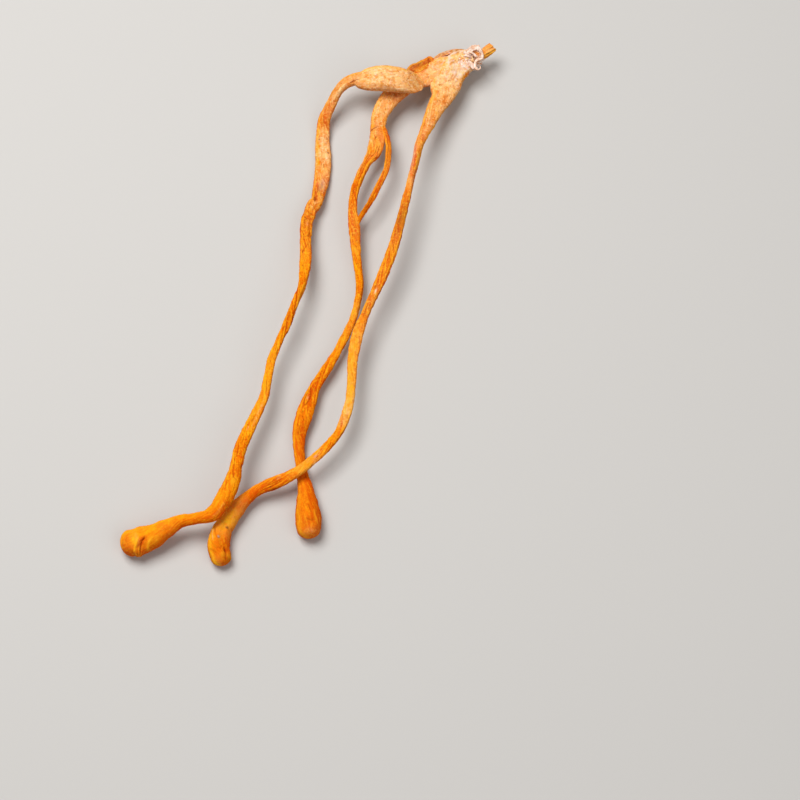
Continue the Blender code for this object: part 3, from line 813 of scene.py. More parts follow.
    def surface(self) -> tuple[np.ndarray, dict[str, np.ndarray]]:
        """The skin's points and looks.

        Returns:
            The points, a row for each ring, and the looks at each point by name.
        """
        route = self.sections()
        begin = 0 if self.start_near is None else nearest(route, self.start_near)
        end = len(route) if self.stop_near is None else nearest(route, self.stop_near) + 1
        head = self.closing(route[begin:end][::-1], self.first)[::-1]
        tail = self.closing(route[begin:end], self.last)
        rings = np.vstack([head, route[begin:end], tail])
        which = np.clip(np.arange(len(rings)) - len(head) + begin, begin, end - 1)
        side, up = (axis[which][:, None] for axis in self.axes(route))
        run = np.concatenate([[0.0], np.cumsum(np.linalg.norm(np.diff(route[:, :3], axis=0), axis=1))])
        distance = run[which]
        distance[:len(head)] -= np.linalg.norm(head[:, :3] - route[begin, :3], axis=1)
        distance[len(rings) - len(tail):] += np.linalg.norm(tail[:, :3] - route[end - 1, :3], axis=1)
        distance = np.maximum.accumulate(distance)
        stem = np.ones(len(rings))
        if self.last is End.CLUB:
            stem = np.clip((run[-1] - self.HEAD_PLAIN - distance) / self.HEAD_FADE, 0, 1)
        turns = 2 * math.pi * np.arange(self.sides + 1) / self.sides - 0.5 * math.pi
        share = self.furrow(distance, turns, stem * self.tone(distance)["furrow"][:, 0])
        if self.ridges:
            broken = 1 - self.RIDGE_BREAK * (1 - np.sin(self.RIDGE_RATE * distance))
            share = 1 + self.RIDGE_DEPTH * broken[:, None] * np.cos(self.ridges * turns + self.seed)
        cos, sin = np.cos(turns)[None], np.sin(turns)[None]
        flat = 1 - (1 - self.flat) * stem[:, None]
        across, rise = rings[:, 3:4] / 2, rings[:, 4:5] / 2
        x, y = across * cos, rise * np.sign(sin) * np.abs(sin) ** flat
        skin = self.skin(distance, x, y, sin, cos, stem[:, None])
        square = np.sqrt((rise * cos) ** 2 + (across * sin) ** 2) + self.TINY
        thin = self.THINNEST * np.minimum(across, rise)
        raised = np.clip(skin.depth, -thin, thin)
        sideways = (x * share + raised * rise * cos / square)[..., None]
        upward = (y * share + raised * across * sin / square)[..., None]
        points = rings[:, None, :3] + side * sideways + up * upward
        if self.last is End.BREAK:
            points = points + np.cross(up, side) * self.jag(rings, len(tail), turns)[..., None]
        hollow = np.clip(1 - share, 0, 1) / self.FURROW_DEPTH
        # Painted shade in the hollows of the furrows and ridges.
        skin.marks["crease"] += self.shade * hollow ** 2
        marks = {name: np.clip(value, 0, 1) for name, value in skin.marks.items()}
        marks["grain"] = np.stack([x + self.slant * distance[:, None], y, distance[:, None] + 0 * x], -1)
        return placed(points), marks

    def build(self) -> bpy.types.Object:
        """Rolls a flat grid into the tube, closes its seam and ends, and stores the looks on it.

        Returns:
            The finished object, with no material yet.
        """
        points, marks = self.surface()
        rows, columns = points.shape[0] - 1, points.shape[1] - 1
        deselect()
        bpy.ops.mesh.primitive_grid_add(x_subdivisions=columns, y_subdivisions=rows, size=1.0)
        thing = bpy.context.object
        thing.name = thing.data.name = self.name
        flat = mesh_points(thing)
        column = np.rint((flat[:, 0] + 0.5) * columns).astype(int)
        row = np.rint((flat[:, 1] + 0.5) * rows).astype(int)
        column[column == columns] = 0
        move_points(thing, points[row, column])
        for name in (*LOOKS, "grain"):
            write_attribute(thing, name, marks[name][row, column])
        bpy.ops.object.mode_set(mode="EDIT")
        bpy.ops.mesh.select_all(action="SELECT")
        bpy.ops.mesh.remove_doubles(threshold=MERGE)
        bpy.ops.mesh.normals_make_consistent(inside=False)
        bpy.ops.object.mode_set(mode="OBJECT")
        bpy.ops.object.shade_smooth_by_angle(angle=SMOOTH)
        return thing


def nearest(route: np.ndarray, place: Point) -> int:
    """The number of the route's ring that is nearest to a place."""
    return int(np.linalg.norm(route[:, :3] - place, axis=1).argmin())


def linear(code: str) -> tuple[float, float, float, float]:
    """An sRGB colour as the linear colour that the shader takes.

    Args:
        code: The colour's hex code.

    Returns:
        Its linear red, green and blue, and full cover.
    """
    parts = [int(code[k:k + 2], 16) / 255 for k in (1, 3, 5)]
    values = [v / 12.92 if v <= 0.04045 else ((v + 0.055) / 1.055) ** 2.4 for v in parts]
    return (*values, 1.0)


def add_node(tree: bpy.types.NodeTree, kind: str, settings: dict[str, Any] | None = None,
             inputs: dict[Any, Any] | None = None) -> bpy.types.Node:
    """Adds a node with its settings and links.

    Args:
        tree: The material's node tree.
        kind: The node's type.
        settings: Properties of the node by name.
        inputs: Values or output sockets by the input's name or number.

    Returns:
        The new node.
    """
    node = tree.nodes.new(kind)
    for name, value in (settings or {}).items():
        setattr(node, name, value)
    for name, value in (inputs or {}).items():
        if isinstance(value, bpy.types.NodeSocket):
            tree.links.new(value, node.inputs[name])
        else:
            node.inputs[name].default_value = value
    return node


def coated(tree: bpy.types.NodeTree, ground: Any, coats: list[tuple[Any, float, Any]]) -> Any:
    """Lays coats of colour over a ground.

    Args:
        tree: The material's node tree.
        ground: The ground's colour, or the socket that gives it.
        coats: For each coat, the socket that says where it lies, its share, and its colour or socket.

    Returns:
        The socket of the whole, or the ground where there is no coat.
    """
    for mask, share, colour in coats:
        amount = add_node(tree, "ShaderNodeMath", {"operation": "MULTIPLY"}, {0: mask, 1: share})
        coat = add_node(tree, "ShaderNodeMix", {"data_type": "RGBA"},
                        {0: amount.outputs[0], 6: ground, 7: colour})
        ground = coat.outputs[2]
    return ground


@dataclass(frozen=True)
class Pattern:
    """A pattern of the flesh: its size in mm, its detail, and the noise at which it starts and is full.

    One with a length, in mm too, follows the stem, and the others lie evenly in space.
    """

    size: float
    detail: float
    low: float
    high: float
    length: float = 0.0

    def mask(self, tree: bpy.types.NodeTree, vector: bpy.types.NodeSocket) -> bpy.types.NodeSocket:
        """Builds the pattern.

        Args:
            tree: The material's node tree.
            vector: Where each point is: along and across the stem in mm, or in space in metres.

        Returns:
            The socket that is 1 on the pattern and 0 off it.
        """
        scale = (1 / (self.size * MM),) * 3
        if self.length:
            scale = (1 / self.size, 1 / self.size, 1 / self.length)
        scaled = add_node(tree, "ShaderNodeMapping", {}, {"Vector": vector, "Scale": scale})
        texture = add_node(tree, "ShaderNodeTexNoise", {},
                           {"Vector": scaled.outputs[0], "Scale": 1.0, "Detail": self.detail})
        ranged = {0: texture.outputs[0], 1: self.low, 2: self.high}
        return add_node(tree, "ShaderNodeMapRange", {}, ranged).outputs[0]


@dataclass(frozen=True)
class DriedFlesh:
    """Dried cordyceps flesh: a felt of fungus threads, shrunk in drying.

    It is matt and a little translucent at its thin edges. Its threads run along the stem, so it shows fine
    slanting fibres, honey-coloured glints and short brown cracks over an uneven amber ground. Painted shade
    deepens its creases, flanks and undersides, and a painted glow lights its lit edges and tops.
    """

    name: str
    amber: str = "#FF9402"
    # ruddy: the flesh's own deeper tone, and also its painted shade.
    ruddy: str = "#D65000"
    straw: str = "#FFAC0C"
    honey: str = "#FFBE1A"
    ember: str = "#B84600"
    cream: str = "#F9C47E"
    tan: str = "#DE8A36"
    umber: str = "#9C5628"
    milk: str = "#FFE0B2"
    # crease and pale_crease: painted shade in creases, furrows and along edges, on orange and on pale flesh;
    # crease is also the colour of the fine cracks.
    crease: str = "#A03600"
    pale_crease: str = "#AC6430"
    # The painted glow's colour.
    painted_glow: str = "#FFB620"
    stain: str = "#6E4022"
    bloom: str = "#F0D8C8"
    roughness: float = 0.75
    specular: float = 0.04
    translucence: float = 0.2
    seep: float = 0.2        # mm that light seeps through the flesh, and each colour's share of it
    seep_shares: Point = (1.0, 0.38, 0.08)
    bump: float = 0.025      # mm that the felt and the fibres stand out
    bump_strength: float = 0.8
    head_felt: float = 0.4   # share of the felt and the fibres that a head shows
    streaks: Pattern = Pattern(0.45, 3.0, 0.44, 0.66, 6.0)    # pale streaks along the stem
    patches: Pattern = Pattern(1.1, 3.0, 0.38, 0.62)          # the stem's lighter and darker patches
    flecks: Pattern = Pattern(0.75, 5.0, 0.46, 0.60)          # tan flecks of the pale flesh
    specks: Pattern = Pattern(0.40, 3.0, 0.56, 0.68)          # brown specks of the pale flesh
    dark_felt: Pattern = Pattern(0.26, 2.0, 0.46, 0.70)       # shaded grains of the felt
    light_felt: Pattern = Pattern(0.338, 2.0, 0.50, 0.72)     # lit grains of the felt
    dashes: Pattern = Pattern(0.156, 2.0, 0.58, 0.70, 1.3)    # short cracks between the fibres
    glints: Pattern = Pattern(0.195, 2.0, 0.54, 0.70, 2.4)    # fibres that catch the light
    fibres: Pattern = Pattern(0.13, 3.0, 0.2, 0.8, 2.0)       # fibres, as fine as the render can show

    # The patterns that fade on a head, whose skin is smoother than a stem's.
    FADING = ("streaks", "dark_felt", "light_felt", "dashes", "glints")
    # The coats over each ground: where each lies, its share and its colour. The ruddy coat carries painted
    # shade as well as the flesh's own tone.
    ORANGE_COATS = (
        ("ruddy", 1.0, "ruddy"), ("patches", 0.55, "ruddy"), ("streaks", 0.56, "straw"),
        ("dark_felt", 0.50, "ember"), ("light_felt", 0.55, "honey"), ("glints", 0.72, "honey"),
        ("dashes", 0.58, "crease"),
    )
    PALE_COATS = (
        ("ruddy", 0.5, "tan"), ("flecks", 0.85, "tan"), ("specks", 0.50, "umber"),
        ("light_felt", 0.8, "milk"), ("glints", 0.45, "milk"), ("dashes", 0.08, "umber"),
    )
    # How much of the painted glow, of the painted shade in creases and of the stains shows.
    PAINTED_GLOW_SHARE = 0.8
    CREASE_SHARE = 0.9
    STAIN_SHARE = 0.85

    def masks(self, tree: bpy.types.NodeTree) -> dict[str, bpy.types.NodeSocket]:
        """The looks that are stored on the mesh, and the patterns.

        Args:
            tree: The material's node tree.

        Returns:
            A socket from 0 to 1 for each name.
        """
        grain = add_node(tree, "ShaderNodeAttribute", {"attribute_name": "grain"}).outputs["Vector"]
        place = add_node(tree, "ShaderNodeTexCoord").outputs["Object"]
        made = {name: add_node(tree, "ShaderNodeAttribute", {"attribute_name": name}).outputs["Fac"]
                for name in LOOKS}
        for item in fields(self):
            pattern = getattr(self, item.name)
            if isinstance(pattern, Pattern):
                made[item.name] = pattern.mask(tree, grain if pattern.length else place)
        fade = add_node(tree, "ShaderNodeMapRange", {}, {0: made["smooth"], 3: 1.0, 4: self.head_felt})
        for name in self.FADING:
            inputs = {0: made[name], 1: fade.outputs[0]}
            made[name] = add_node(tree, "ShaderNodeMath", {"operation": "MULTIPLY"}, inputs).outputs[0]
        return made

    def material(self) -> bpy.types.Material:
        """Builds the node material.

        Returns:
            The material.
        """
        made = bpy.data.materials.new(self.name)
        made.use_nodes = True
        tree = made.node_tree
        masks = self.masks(tree)
        orange, pale = (
            coated(tree, linear(ground), [(masks[mask], share, linear(getattr(self, colour)))
                                          for mask, share, colour in coats])
            for ground, coats in ((self.amber, self.ORANGE_COATS), (self.cream, self.PALE_COATS))
        )
        flesh = coated(tree, orange, [(masks["pale"], 1.0, pale)])
        crease = coated(tree, linear(self.crease), [(masks["pale"], 1.0, linear(self.pale_crease))])
        # Over the flesh: the painted glow, the painted shade of the creases, the stains and the residue.
        skin = coated(tree, flesh, [
            (masks["painted_glow"], self.PAINTED_GLOW_SHARE, linear(self.painted_glow)),
            (masks["crease"], self.CREASE_SHARE, crease),
            (masks["stain"], self.STAIN_SHARE, linear(self.stain)),
            (masks["bloom"], 1.0, linear(self.bloom)),
        ])
        height = add_node(tree, "ShaderNodeMath", {"operation": "ADD"},
                          {0: masks["light_felt"], 1: masks["fibres"]})
        bump = add_node(tree, "ShaderNodeBump", {}, {
            "Height": height.outputs[0], "Strength": self.bump_strength, "Distance": self.bump * MM})
        shader = tree.nodes["Principled BSDF"]
        tree.links.new(skin, shader.inputs["Base Color"])
        tree.links.new(bump.outputs[0], shader.inputs["Normal"])
        shader.inputs["Roughness"].default_value = self.roughness
        shader.inputs["Specular IOR Level"].default_value = self.specular
        shader.inputs["Subsurface Weight"].default_value = self.translucence
        shader.inputs["Subsurface Radius"].default_value = self.seep_shares
        shader.inputs["Subsurface Scale"].default_value = self.seep * MM
        return made


@dataclass(frozen=True)
class Crust:
    """Dried rice and mycelium residue: chalky, pinkish-white flakes, with painted grey-brown shade in their
    hollows.
    """

    name: str = "dried_substrate_crust"
    chalk: str = "#FFE8D8"
    # The painted shade in the hollows and cracks.
    hollow_shade: str = "#8E5428"
    straw: str = "#E08C34"
    dust: str = "#C8977A"
    grit: float = 0.30         # mm between crumbs
    grit_detail: float = 4.0
    stain_size: float = 1.2    # mm between straw-coloured stains
    stain_detail: float = 2.0
    stains: Point = (0.50, 0.64, 0.6)    # the noise at which a stain starts and is full, and its share
    dusty: Point = (0.52, 0.64, 0.5)     # the same for the dust
    bump: float = 0.05         # mm that the crumbs stand out
    bump_strength: float = 0.7
    roughness: float = 0.85
    specular: float = 0.3

    def material(self) -> bpy.types.Material:
        """Builds the node material.

        Returns:
            The material.
        """
        made = bpy.data.materials.new(self.name)
        made.use_nodes = True
        tree = made.node_tree
        place = add_node(tree, "ShaderNodeTexCoord").outputs["Object"]
        # hollow is the painted shade of the hollows and cracks; warm is the straw colour of recesses and
        # folds.
        hollow, warm = (add_node(tree, "ShaderNodeAttribute", {"attribute_name": name}).outputs["Fac"]
                        for name in (Mark.CREASE.value, Mark.BLUSH.value))
        noises = []
        shares = []
        for size, detail, (low, high, most) in ((self.grit, self.grit_detail, self.dusty),
                                                (self.stain_size, self.stain_detail, self.stains)):
            noises.append(add_node(tree, "ShaderNodeTexNoise", {},
                                   {"Vector": place, "Scale": 1 / (size * MM), "Detail": detail}).outputs[0])
            shares.append(add_node(tree, "ShaderNodeMapRange", {},
                                   {0: noises[-1], 1: low, 2: high, 4: most}).outputs[0])
        stained = add_node(tree, "ShaderNodeMath", {"operation": "MAXIMUM"}, {0: shares[1], 1: warm})
        whole = coated(tree, linear(self.chalk), [
            (stained.outputs[0], 1.0, linear(self.straw)),
            (shares[0], 1.0, linear(self.dust)),
            (hollow, 1.0, linear(self.hollow_shade)),
        ])
        bump = add_node(tree, "ShaderNodeBump", {}, {
            "Height": noises[0], "Strength": self.bump_strength, "Distance": self.bump * MM})
        shader = tree.nodes["Principled BSDF"]
        tree.links.new(whole, shader.inputs["Base Color"])
        tree.links.new(bump.outputs[0], shader.inputs["Normal"])
        shader.inputs["Roughness"].default_value = self.roughness
        shader.inputs["Specular IOR Level"].default_value = self.specular
        return made


def dress(thing: bpy.types.Object, material: bpy.types.Material, node: str) -> None:
    """Gives a finished piece its material and its body, and hides the CAD node that it replaces.

    Args:
        thing: The piece.
        material: Its material.
        node: The CAD node that it replaces.
    """
    thing.data.materials.clear()
    thing.data.materials.append(material)
    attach(thing, "root")
    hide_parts(node)
    LOG.info("%s: %d points", thing.name, len(thing.data.vertices))


def joined(things: list[bpy.types.Object], name: str) -> bpy.types.Object:
    """Joins objects into the first of them.

    Args:
        things: The objects.
        name: The name of the result.

    Returns:
        The first object, with the others in it.
    """
    only(things[0])
    for thing in things[1:]:
        thing.select_set(True)
    bpy.ops.object.join()
    things[0].name = things[0].data.name = name
    return things[0]


def united(things: list[bpy.types.Object], name: str) -> bpy.types.Object:
    """Unites closed tubes into one solid skin and carries their looks over to it.

    Args:
        things: The tubes, the first of which is kept.
        name: The name of the result.

    Returns:
        The united object.
    """
    points = np.vstack([mesh_points(thing) for thing in things])
    values = {look: np.concatenate([read_attribute(thing, look) for thing in things])
              for look in (*LOOKS, "grain")}
    whole = things[0]
    for part in things[1:]:
        only(whole)
        step = whole.modifiers.new("union", "BOOLEAN")
        step.operation = "UNION"
        step.solver = "EXACT"
        step.object = part
        bpy.ops.object.modifier_apply(modifier=step.name)
        bpy.data.objects.remove(part)
    tree = kdtree.KDTree(len(points))
    for number, point in enumerate(points):
        tree.insert(point, number)
    tree.balance()
    closest = np.array([tree.find(point)[1] for point in mesh_points(whole)])
    for look, value in values.items():
        write_attribute(whole, look, value[closest])
    whole.name = whole.data.name = name
    return whole


@dataclass(frozen=True)
class LeftStem:
    """The stem whose broad pale lobe lies on the base, down to the head at the far left."""

    route: tuple[Section, ...] = LEFT_STEM
    seed: float = 1.0
    # The ruddy tones from 15 to 20, where the stem passes under the crossing ribbon, are painted shade.
    tones: tuple[Tone, ...] = toned(
        (0, 0.75, 0.55, 0.02, 0.1, 0.2, 0.2), (2, 0.8, 0.4, 0.06, 0.1, 0, 0.2),
        (4, 0.82, 0.25, 0.08, 0.1, 0, 0.15), (6, 0.95, 0.1, 0.12, 0.1, 0, 0.15),
        (8, 0.8, 0.2, 0.05, 0.1, 0, 0.2), (10, 0.62, 0.4), (11.5, 0.5, 0.6), (13.5, 0.65, 0.2),
        (16, 0.35, 0.8), (19, 0.15, 1.0), (20.5, 0.5, 0.3, 0.03), (23, 0.65, 0.12, 0.03), (25, 0.7, 0.1),
        (27, 0.42, 0.25), (29.5, 0.2, 0.8, 0.04), (31.5, 0.06, 1.0, 0, 0.25, 0.3),
        (33, 0.25, 0.35, 0, 0.3, 1), (36, 0.06, 0.65, 0, 0.3, 0.9), (39, 0.04, 0.7, 0, 0.3, 0.6),
        (41.5, 0.05, 0.45), (43, 0.03, 0.1), (46, 0, 0.2), (49, 0, 1.0), (51, 0, 0.3), (53.5, 0, 1.0),
        (55.5, 0, 0.5), (57, 0, 0.2), (60, 0.03, 0), (65, 0.02, 0.1), (69, 0.03, 0), (71, 0.02, 0.05),
        (73, 0, 0.2), (76, 0, 0.7, 0, 0.2, 0.25, 0.15), (79, 0, 0.65, 0, 0.15, 0.25, 0.15),
        (82, 0, 0.45, 0, 0.15, 0.25, 0.15), (85, 0, 0.3, 0, 0.15, 0.2, 0.2), (88.5, 0, 0.75), (91, 0, 0.4),
        (94, 0.03, 0), (96, 0, 0.1), (99, 0.03, 0.05),
    )
    # CREASE lines and spots darken creases and cracks, partly with painted shade; GLOW ones are painted
    # highlights.
    lobe_lines: tuple[Line, ...] = marked(Line, {
        Mark.CREASE: (
            # The first, along the lobe's lower edge, is painted shade under that edge.
            (((3.6, -2.0), (6.0, -1.72), (8.0, -1.4), (9.5, -0.95), (10.4, -0.7)), 0.03, 0.22, 0.3),
            (((9.4, -0.45), (10.2, -0.62), (11.2, -0.62)), 0.12, 0.09, 0.9),
            (((2.1, 0.3), (2.35, -0.35)), 0.06, 0.08, 0.8), (((2.9, 0.45), (3.0, 0.1)), 0.05, 0.07, 0.7),
            (((3.3, 0.3), (3.4, -0.1)), 0.05, 0.07, 0.6), (((13.3, -0.2), (13.4, -0.35)), 0.04, 0.06, 0.6),
            (((11.2, 0.25), (15.5, 0.35)), 0.03, 0.06, 0.4), (((11.5, 0.5), (15.5, 0.62)), 0.03, 0.06, 0.4),
            (((11.3, 0.0), (14.0, 0.1)), 0.03, 0.06, 0.35),
        ),
        Mark.PALE: ((((11.5, -0.55), (15.6, -0.4)), -0.07, 0.14, 0.5),),
    })
    bend_lines: tuple[Line, ...] = marked(Line, {
        Mark.CREASE: (
            (((26.0, -0.17), (26.6, -0.2)), 0.1, 0.07, 1.0),
            (((29.3, -0.35), (30.3, -0.5)), 0.05, 0.09, 0.28),
            (((29.8, 0.3), (31.3, 0.15)), 0.06, 0.08, 0.6),
            (((32.1, 0.6), (32.6, 0.25), (33.0, 0.15)), 0.35, 0.15, 1.2),
            (((33.4, 0.9), (34.2, 0.55), (34.6, 0.1)), 0.06, 0.1, 0.42),
            (((33.6, -0.1), (34.2, -0.45), (34.1, -0.8)), 0.06, 0.1, 0.42),
            (((34.9, 0.7), (35.4, 0.1), (35.2, -0.5)), 0.05, 0.1, 0.4),
            (((36.1, 0.75), (36.4, 0.25), (37.2, 0.6)), 0.12, 0.1, 0.6),
            (((36.35, 0.25), (36.25, 0.0), (36.5, -0.4), (37.0, -0.55)), 0.06, 0.1, 0.4),
            (((36.9, 0.25), (37.6, 0.3), (38.0, 0.0)), 0.06, 0.1, 0.4),
            (((37.3, -0.52), (39.0, -0.62), (41.6, -0.42)), 0.06, 0.1, 0.45),
            (((38.3, 0.8), (39.4, 0.25), (40.3, 0.3)), 0.05, 0.1, 0.4),
        ),
        Mark.PALE: (
            (((28.6, -0.15), (29.2, -0.6), (30.5, -0.75), (31.4, -0.55)), -0.06, 0.09, 0.6),
            (((33.25, 0.25), (33.3, -0.1), (33.0, -0.35)), -0.08, 0.1, 0.7),
            (((33.9, 0.2), (34.4, -0.25)), -0.07, 0.1, 0.5),
        ),
        Mark.GLOW: ((((37.6, -0.8), (39.0, -0.85), (41.0, -0.8)), -0.06, 0.1, 0.5),),
    })
    ribbon_lines: tuple[Line, ...] = marked(Line, {
        Mark.CREASE: (
            (((41.2, -0.15), (41.9, 0.25), (42.4, 0.6)), 0.08, 0.09, 0.77),
            (((41.3, 0.45), (42.6, 0.5)), 0.06, 0.08, 0.59),
            (((49.1, 0.45), (49.8, 0.05), (50.5, -0.3), (52.5, -0.48), (54.5, -0.6)), 0.1, 0.1, 0.68, 0.05),
            (((53.9, 0.6), (54.6, 0.1), (55.6, -0.25), (56.8, -0.45)), 0.07, 0.1, 0.51),
            (((55.1, 0.55), (56.2, 0.0), (58.5, -0.5)), 0.05, 0.09, 0.43),
            (((57.2, 0.45), (58.2, 0.3), (59.0, 0.45)), 0.05, 0.09, 0.43),
            (((56.0, -0.62), (58.6, -0.62)), 0.06, 0.09, 0.51),
            (((58.8, -0.25), (60.0, -0.5)), 0.06, 0.09, 0.51),
            (((62.2, 0.0), (62.6, -0.05)), 0.04, 0.08, 0.59),
            (((61.0, 0.15), (61.4, 0.1)), 0.04, 0.08, 0.59),
            (((64.2, 0.05), (65.3, -0.15), (66.4, -0.3)), 0.07, 0.1, 0.59),
            (((70.2, 0.0), (71.3, 0.02)), 0.04, 0.08, 0.59),
            (((70.7, -0.15), (71.5, -0.1)), 0.04, 0.08, 0.51),
            (((73.8, 0.1), (75.3, 0.05)), 0.05, 0.09, 0.51),
            (((75.2, 0.4), (76.2, 0.15), (77.3, 0.2)), 0.05, 0.09, 0.51),
            (((77.2, 0.4), (78.6, 0.35), (79.7, 0.25), (80.5, -0.2), (80.8, -0.8)), 0.06, 0.09, 0.51),
            (((78.2, -0.9), (79.0, -0.85)), 0.08, 0.12, 0.68),
        ),
        Mark.GLOW: (
            (((41.8, -0.05), (43.2, 0.15), (44.5, 0.3)), -0.06, 0.09, 0.65),
            (((47.8, -0.5), (50.0, -0.45), (52.0, -0.55)), -0.05, 0.1, 0.78),
            (((49.6, 0.5), (50.4, 0.1), (51.5, -0.15)), -0.05, 0.1, 0.78),
            (((58.5, -0.1), (60.0, -0.35)), -0.05, 0.08, 0.65),
            (((64.4, -0.15), (66.2, -0.5)), -0.05, 0.09, 0.65),
        ),
    })
    head_lines: tuple[Line, ...] = marked(Line, {
        Mark.CREASE: (
            (((82.5, -0.55), (84.0, -0.75), (86.5, -0.95)), 0.05, 0.09, 0.36),
            (((83.5, -0.95), (85.5, -1.2)), 0.05, 0.09, 0.36),
            (((84.5, 0.1), (87.5, 0.05)), 0.04, 0.09, 0.24),
            (((97.2, -0.3), (97.75, -0.75), (98.05, -1.2), (98.3, -1.6), (98.5, -2.0)), 0.34, 0.12, 0.7),
            (((98.1, -0.75), (98.5, -1.25), (98.85, -1.8), (98.95, -2.05)), 0.14, 0.09, 0.45),
            (((97.0, -0.1), (97.5, -0.5)), 0.12, 0.18, 0.4),
            (((99.3, 1.2), (99.9, 0.6), (100.1, 0.0), (99.9, -0.8)), 0.02, 0.08, 0.27),
            (((92.0, 0.3), (94.5, 0.9)), 0.05, 0.16, 0.12),
            (((93.0, -0.6), (95.5, -0.3)), 0.05, 0.16, 0.12),
        ),
        Mark.GLOW: (
            (((98.1, 0.1), (98.5, -0.5), (98.9, -1.1), (99.3, -1.7)), -0.1, 0.16, 0.9),
            (((98.6, -1.9), (99.0, -2.25)), -0.34, 0.95, 0.15),
            (((96.4, -0.7), (97.0, -1.3), (97.4, -1.9)), -0.08, 0.2, 0.6),
        ),
    })
    spots: tuple[Spot, ...] = marked(Spot, {
        Mark.CREASE: (
            (1.8, 1.3, 0.25, 0.2, 0.9, 0.15), (32.45, 0.42, 0.25, 0.17, 1.2, 0.25),
            (48.8, 0.0, 1.5, 0.6, 0.2), (53.6, 0.0, 1.2, 0.6, 0.3), (71.9, 0.35, 0.2, 0.12, 0.7),
        ),
        # The blushes at 7.5 and 85.5, along the lower edge, are painted shade.
        Mark.BLUSH: (
            (6.0, 1.6, 2.5, 0.3, 0.5), (7.5, -1.75, 2.2, 0.22, 0.8), (55.6, 0.1, 0.7, 0.8, 0.4),
            (85.5, -1.15, 1.6, 0.3, 0.5), (97.5, -0.5, 0.5, 0.45, 1.0), (98.3, -1.4, 0.4, 0.7, 1.0),
        ),
        Mark.SPECK: (
            (21.7, 0.5, 0.12, 0.12, 0.9), (21.6, -0.8, 0.12, 0.12, 0.9), (24.0, -0.8, 0.12, 0.15, 0.8),
            (24.6, 1.0, 0.12, 0.12, 0.8), (29.9, -0.25, 0.9, 0.35, 0.45), (31.2, 0.1, 0.8, 0.8, 0.22),
            (32.6, 0.35, 0.2, 0.1, 0.7), (99.2, 0.3, 0.12, 0.12, 0.5), (98.8, 0.6, 0.1, 0.1, 0.5),
        ),
        Mark.PALE: (
            (20.8, 0.8, 0.6, 0.25, -0.6), (22.8, 0.6, 0.7, 0.25, -0.6), (23.5, 0.9, 0.5, 0.2, -0.5),
            (25.6, 0.7, 0.6, 0.25, -0.6), (22.5, 0.0, 1.2, 0.13, 0.5), (24.0, -0.55, 0.9, 0.13, 0.5),
            (32.2, -0.55, 0.35, 0.2, 0.6, -0.12), (37.2, -0.1, 0.4, 0.25, 0.3, -0.1),
            (69.5, -0.35, 2.0, 0.15, 0.3), (72.4, 0.15, 0.3, 0.12, 0.5), (85.6, -0.5, 0.9, 0.15, 0.22),
            (98.4, -0.2, 0.3, 0.8, 0.25),
        ),
        Mark.RESIDUE: ((29.8, -0.3, 1.2, 0.45, 0.15),),
        Mark.GLOW: (
            (63.5, 0.0, 4.0, 0.4, 0.6), (81.1, -0.2, 0.7, 0.35, 0.7, -0.05), (84.7, 0.35, 0.9, 0.2, 0.5),
            (96.0, -0.8, 0.9, 0.5, 0.7, -0.05), (98.9, -0.3, 0.5, 0.8, 0.9, -0.1),
            (98.5, -1.55, 0.35, 0.2, 0.5, -0.1),
        ),
    })

    def build(self) -> None:
        """Builds and dresses the stem."""
        lines = (*self.lobe_lines, *self.bend_lines, *self.ribbon_lines, *self.head_lines)
        stem = Ribbon("left_stem_skin", self.route, self.seed, self.tones, lines, self.spots,
                      last=End.CLUB).build()
        dress(stem, DriedFlesh("dried_cordyceps_left_stem").material(), "left_stem")


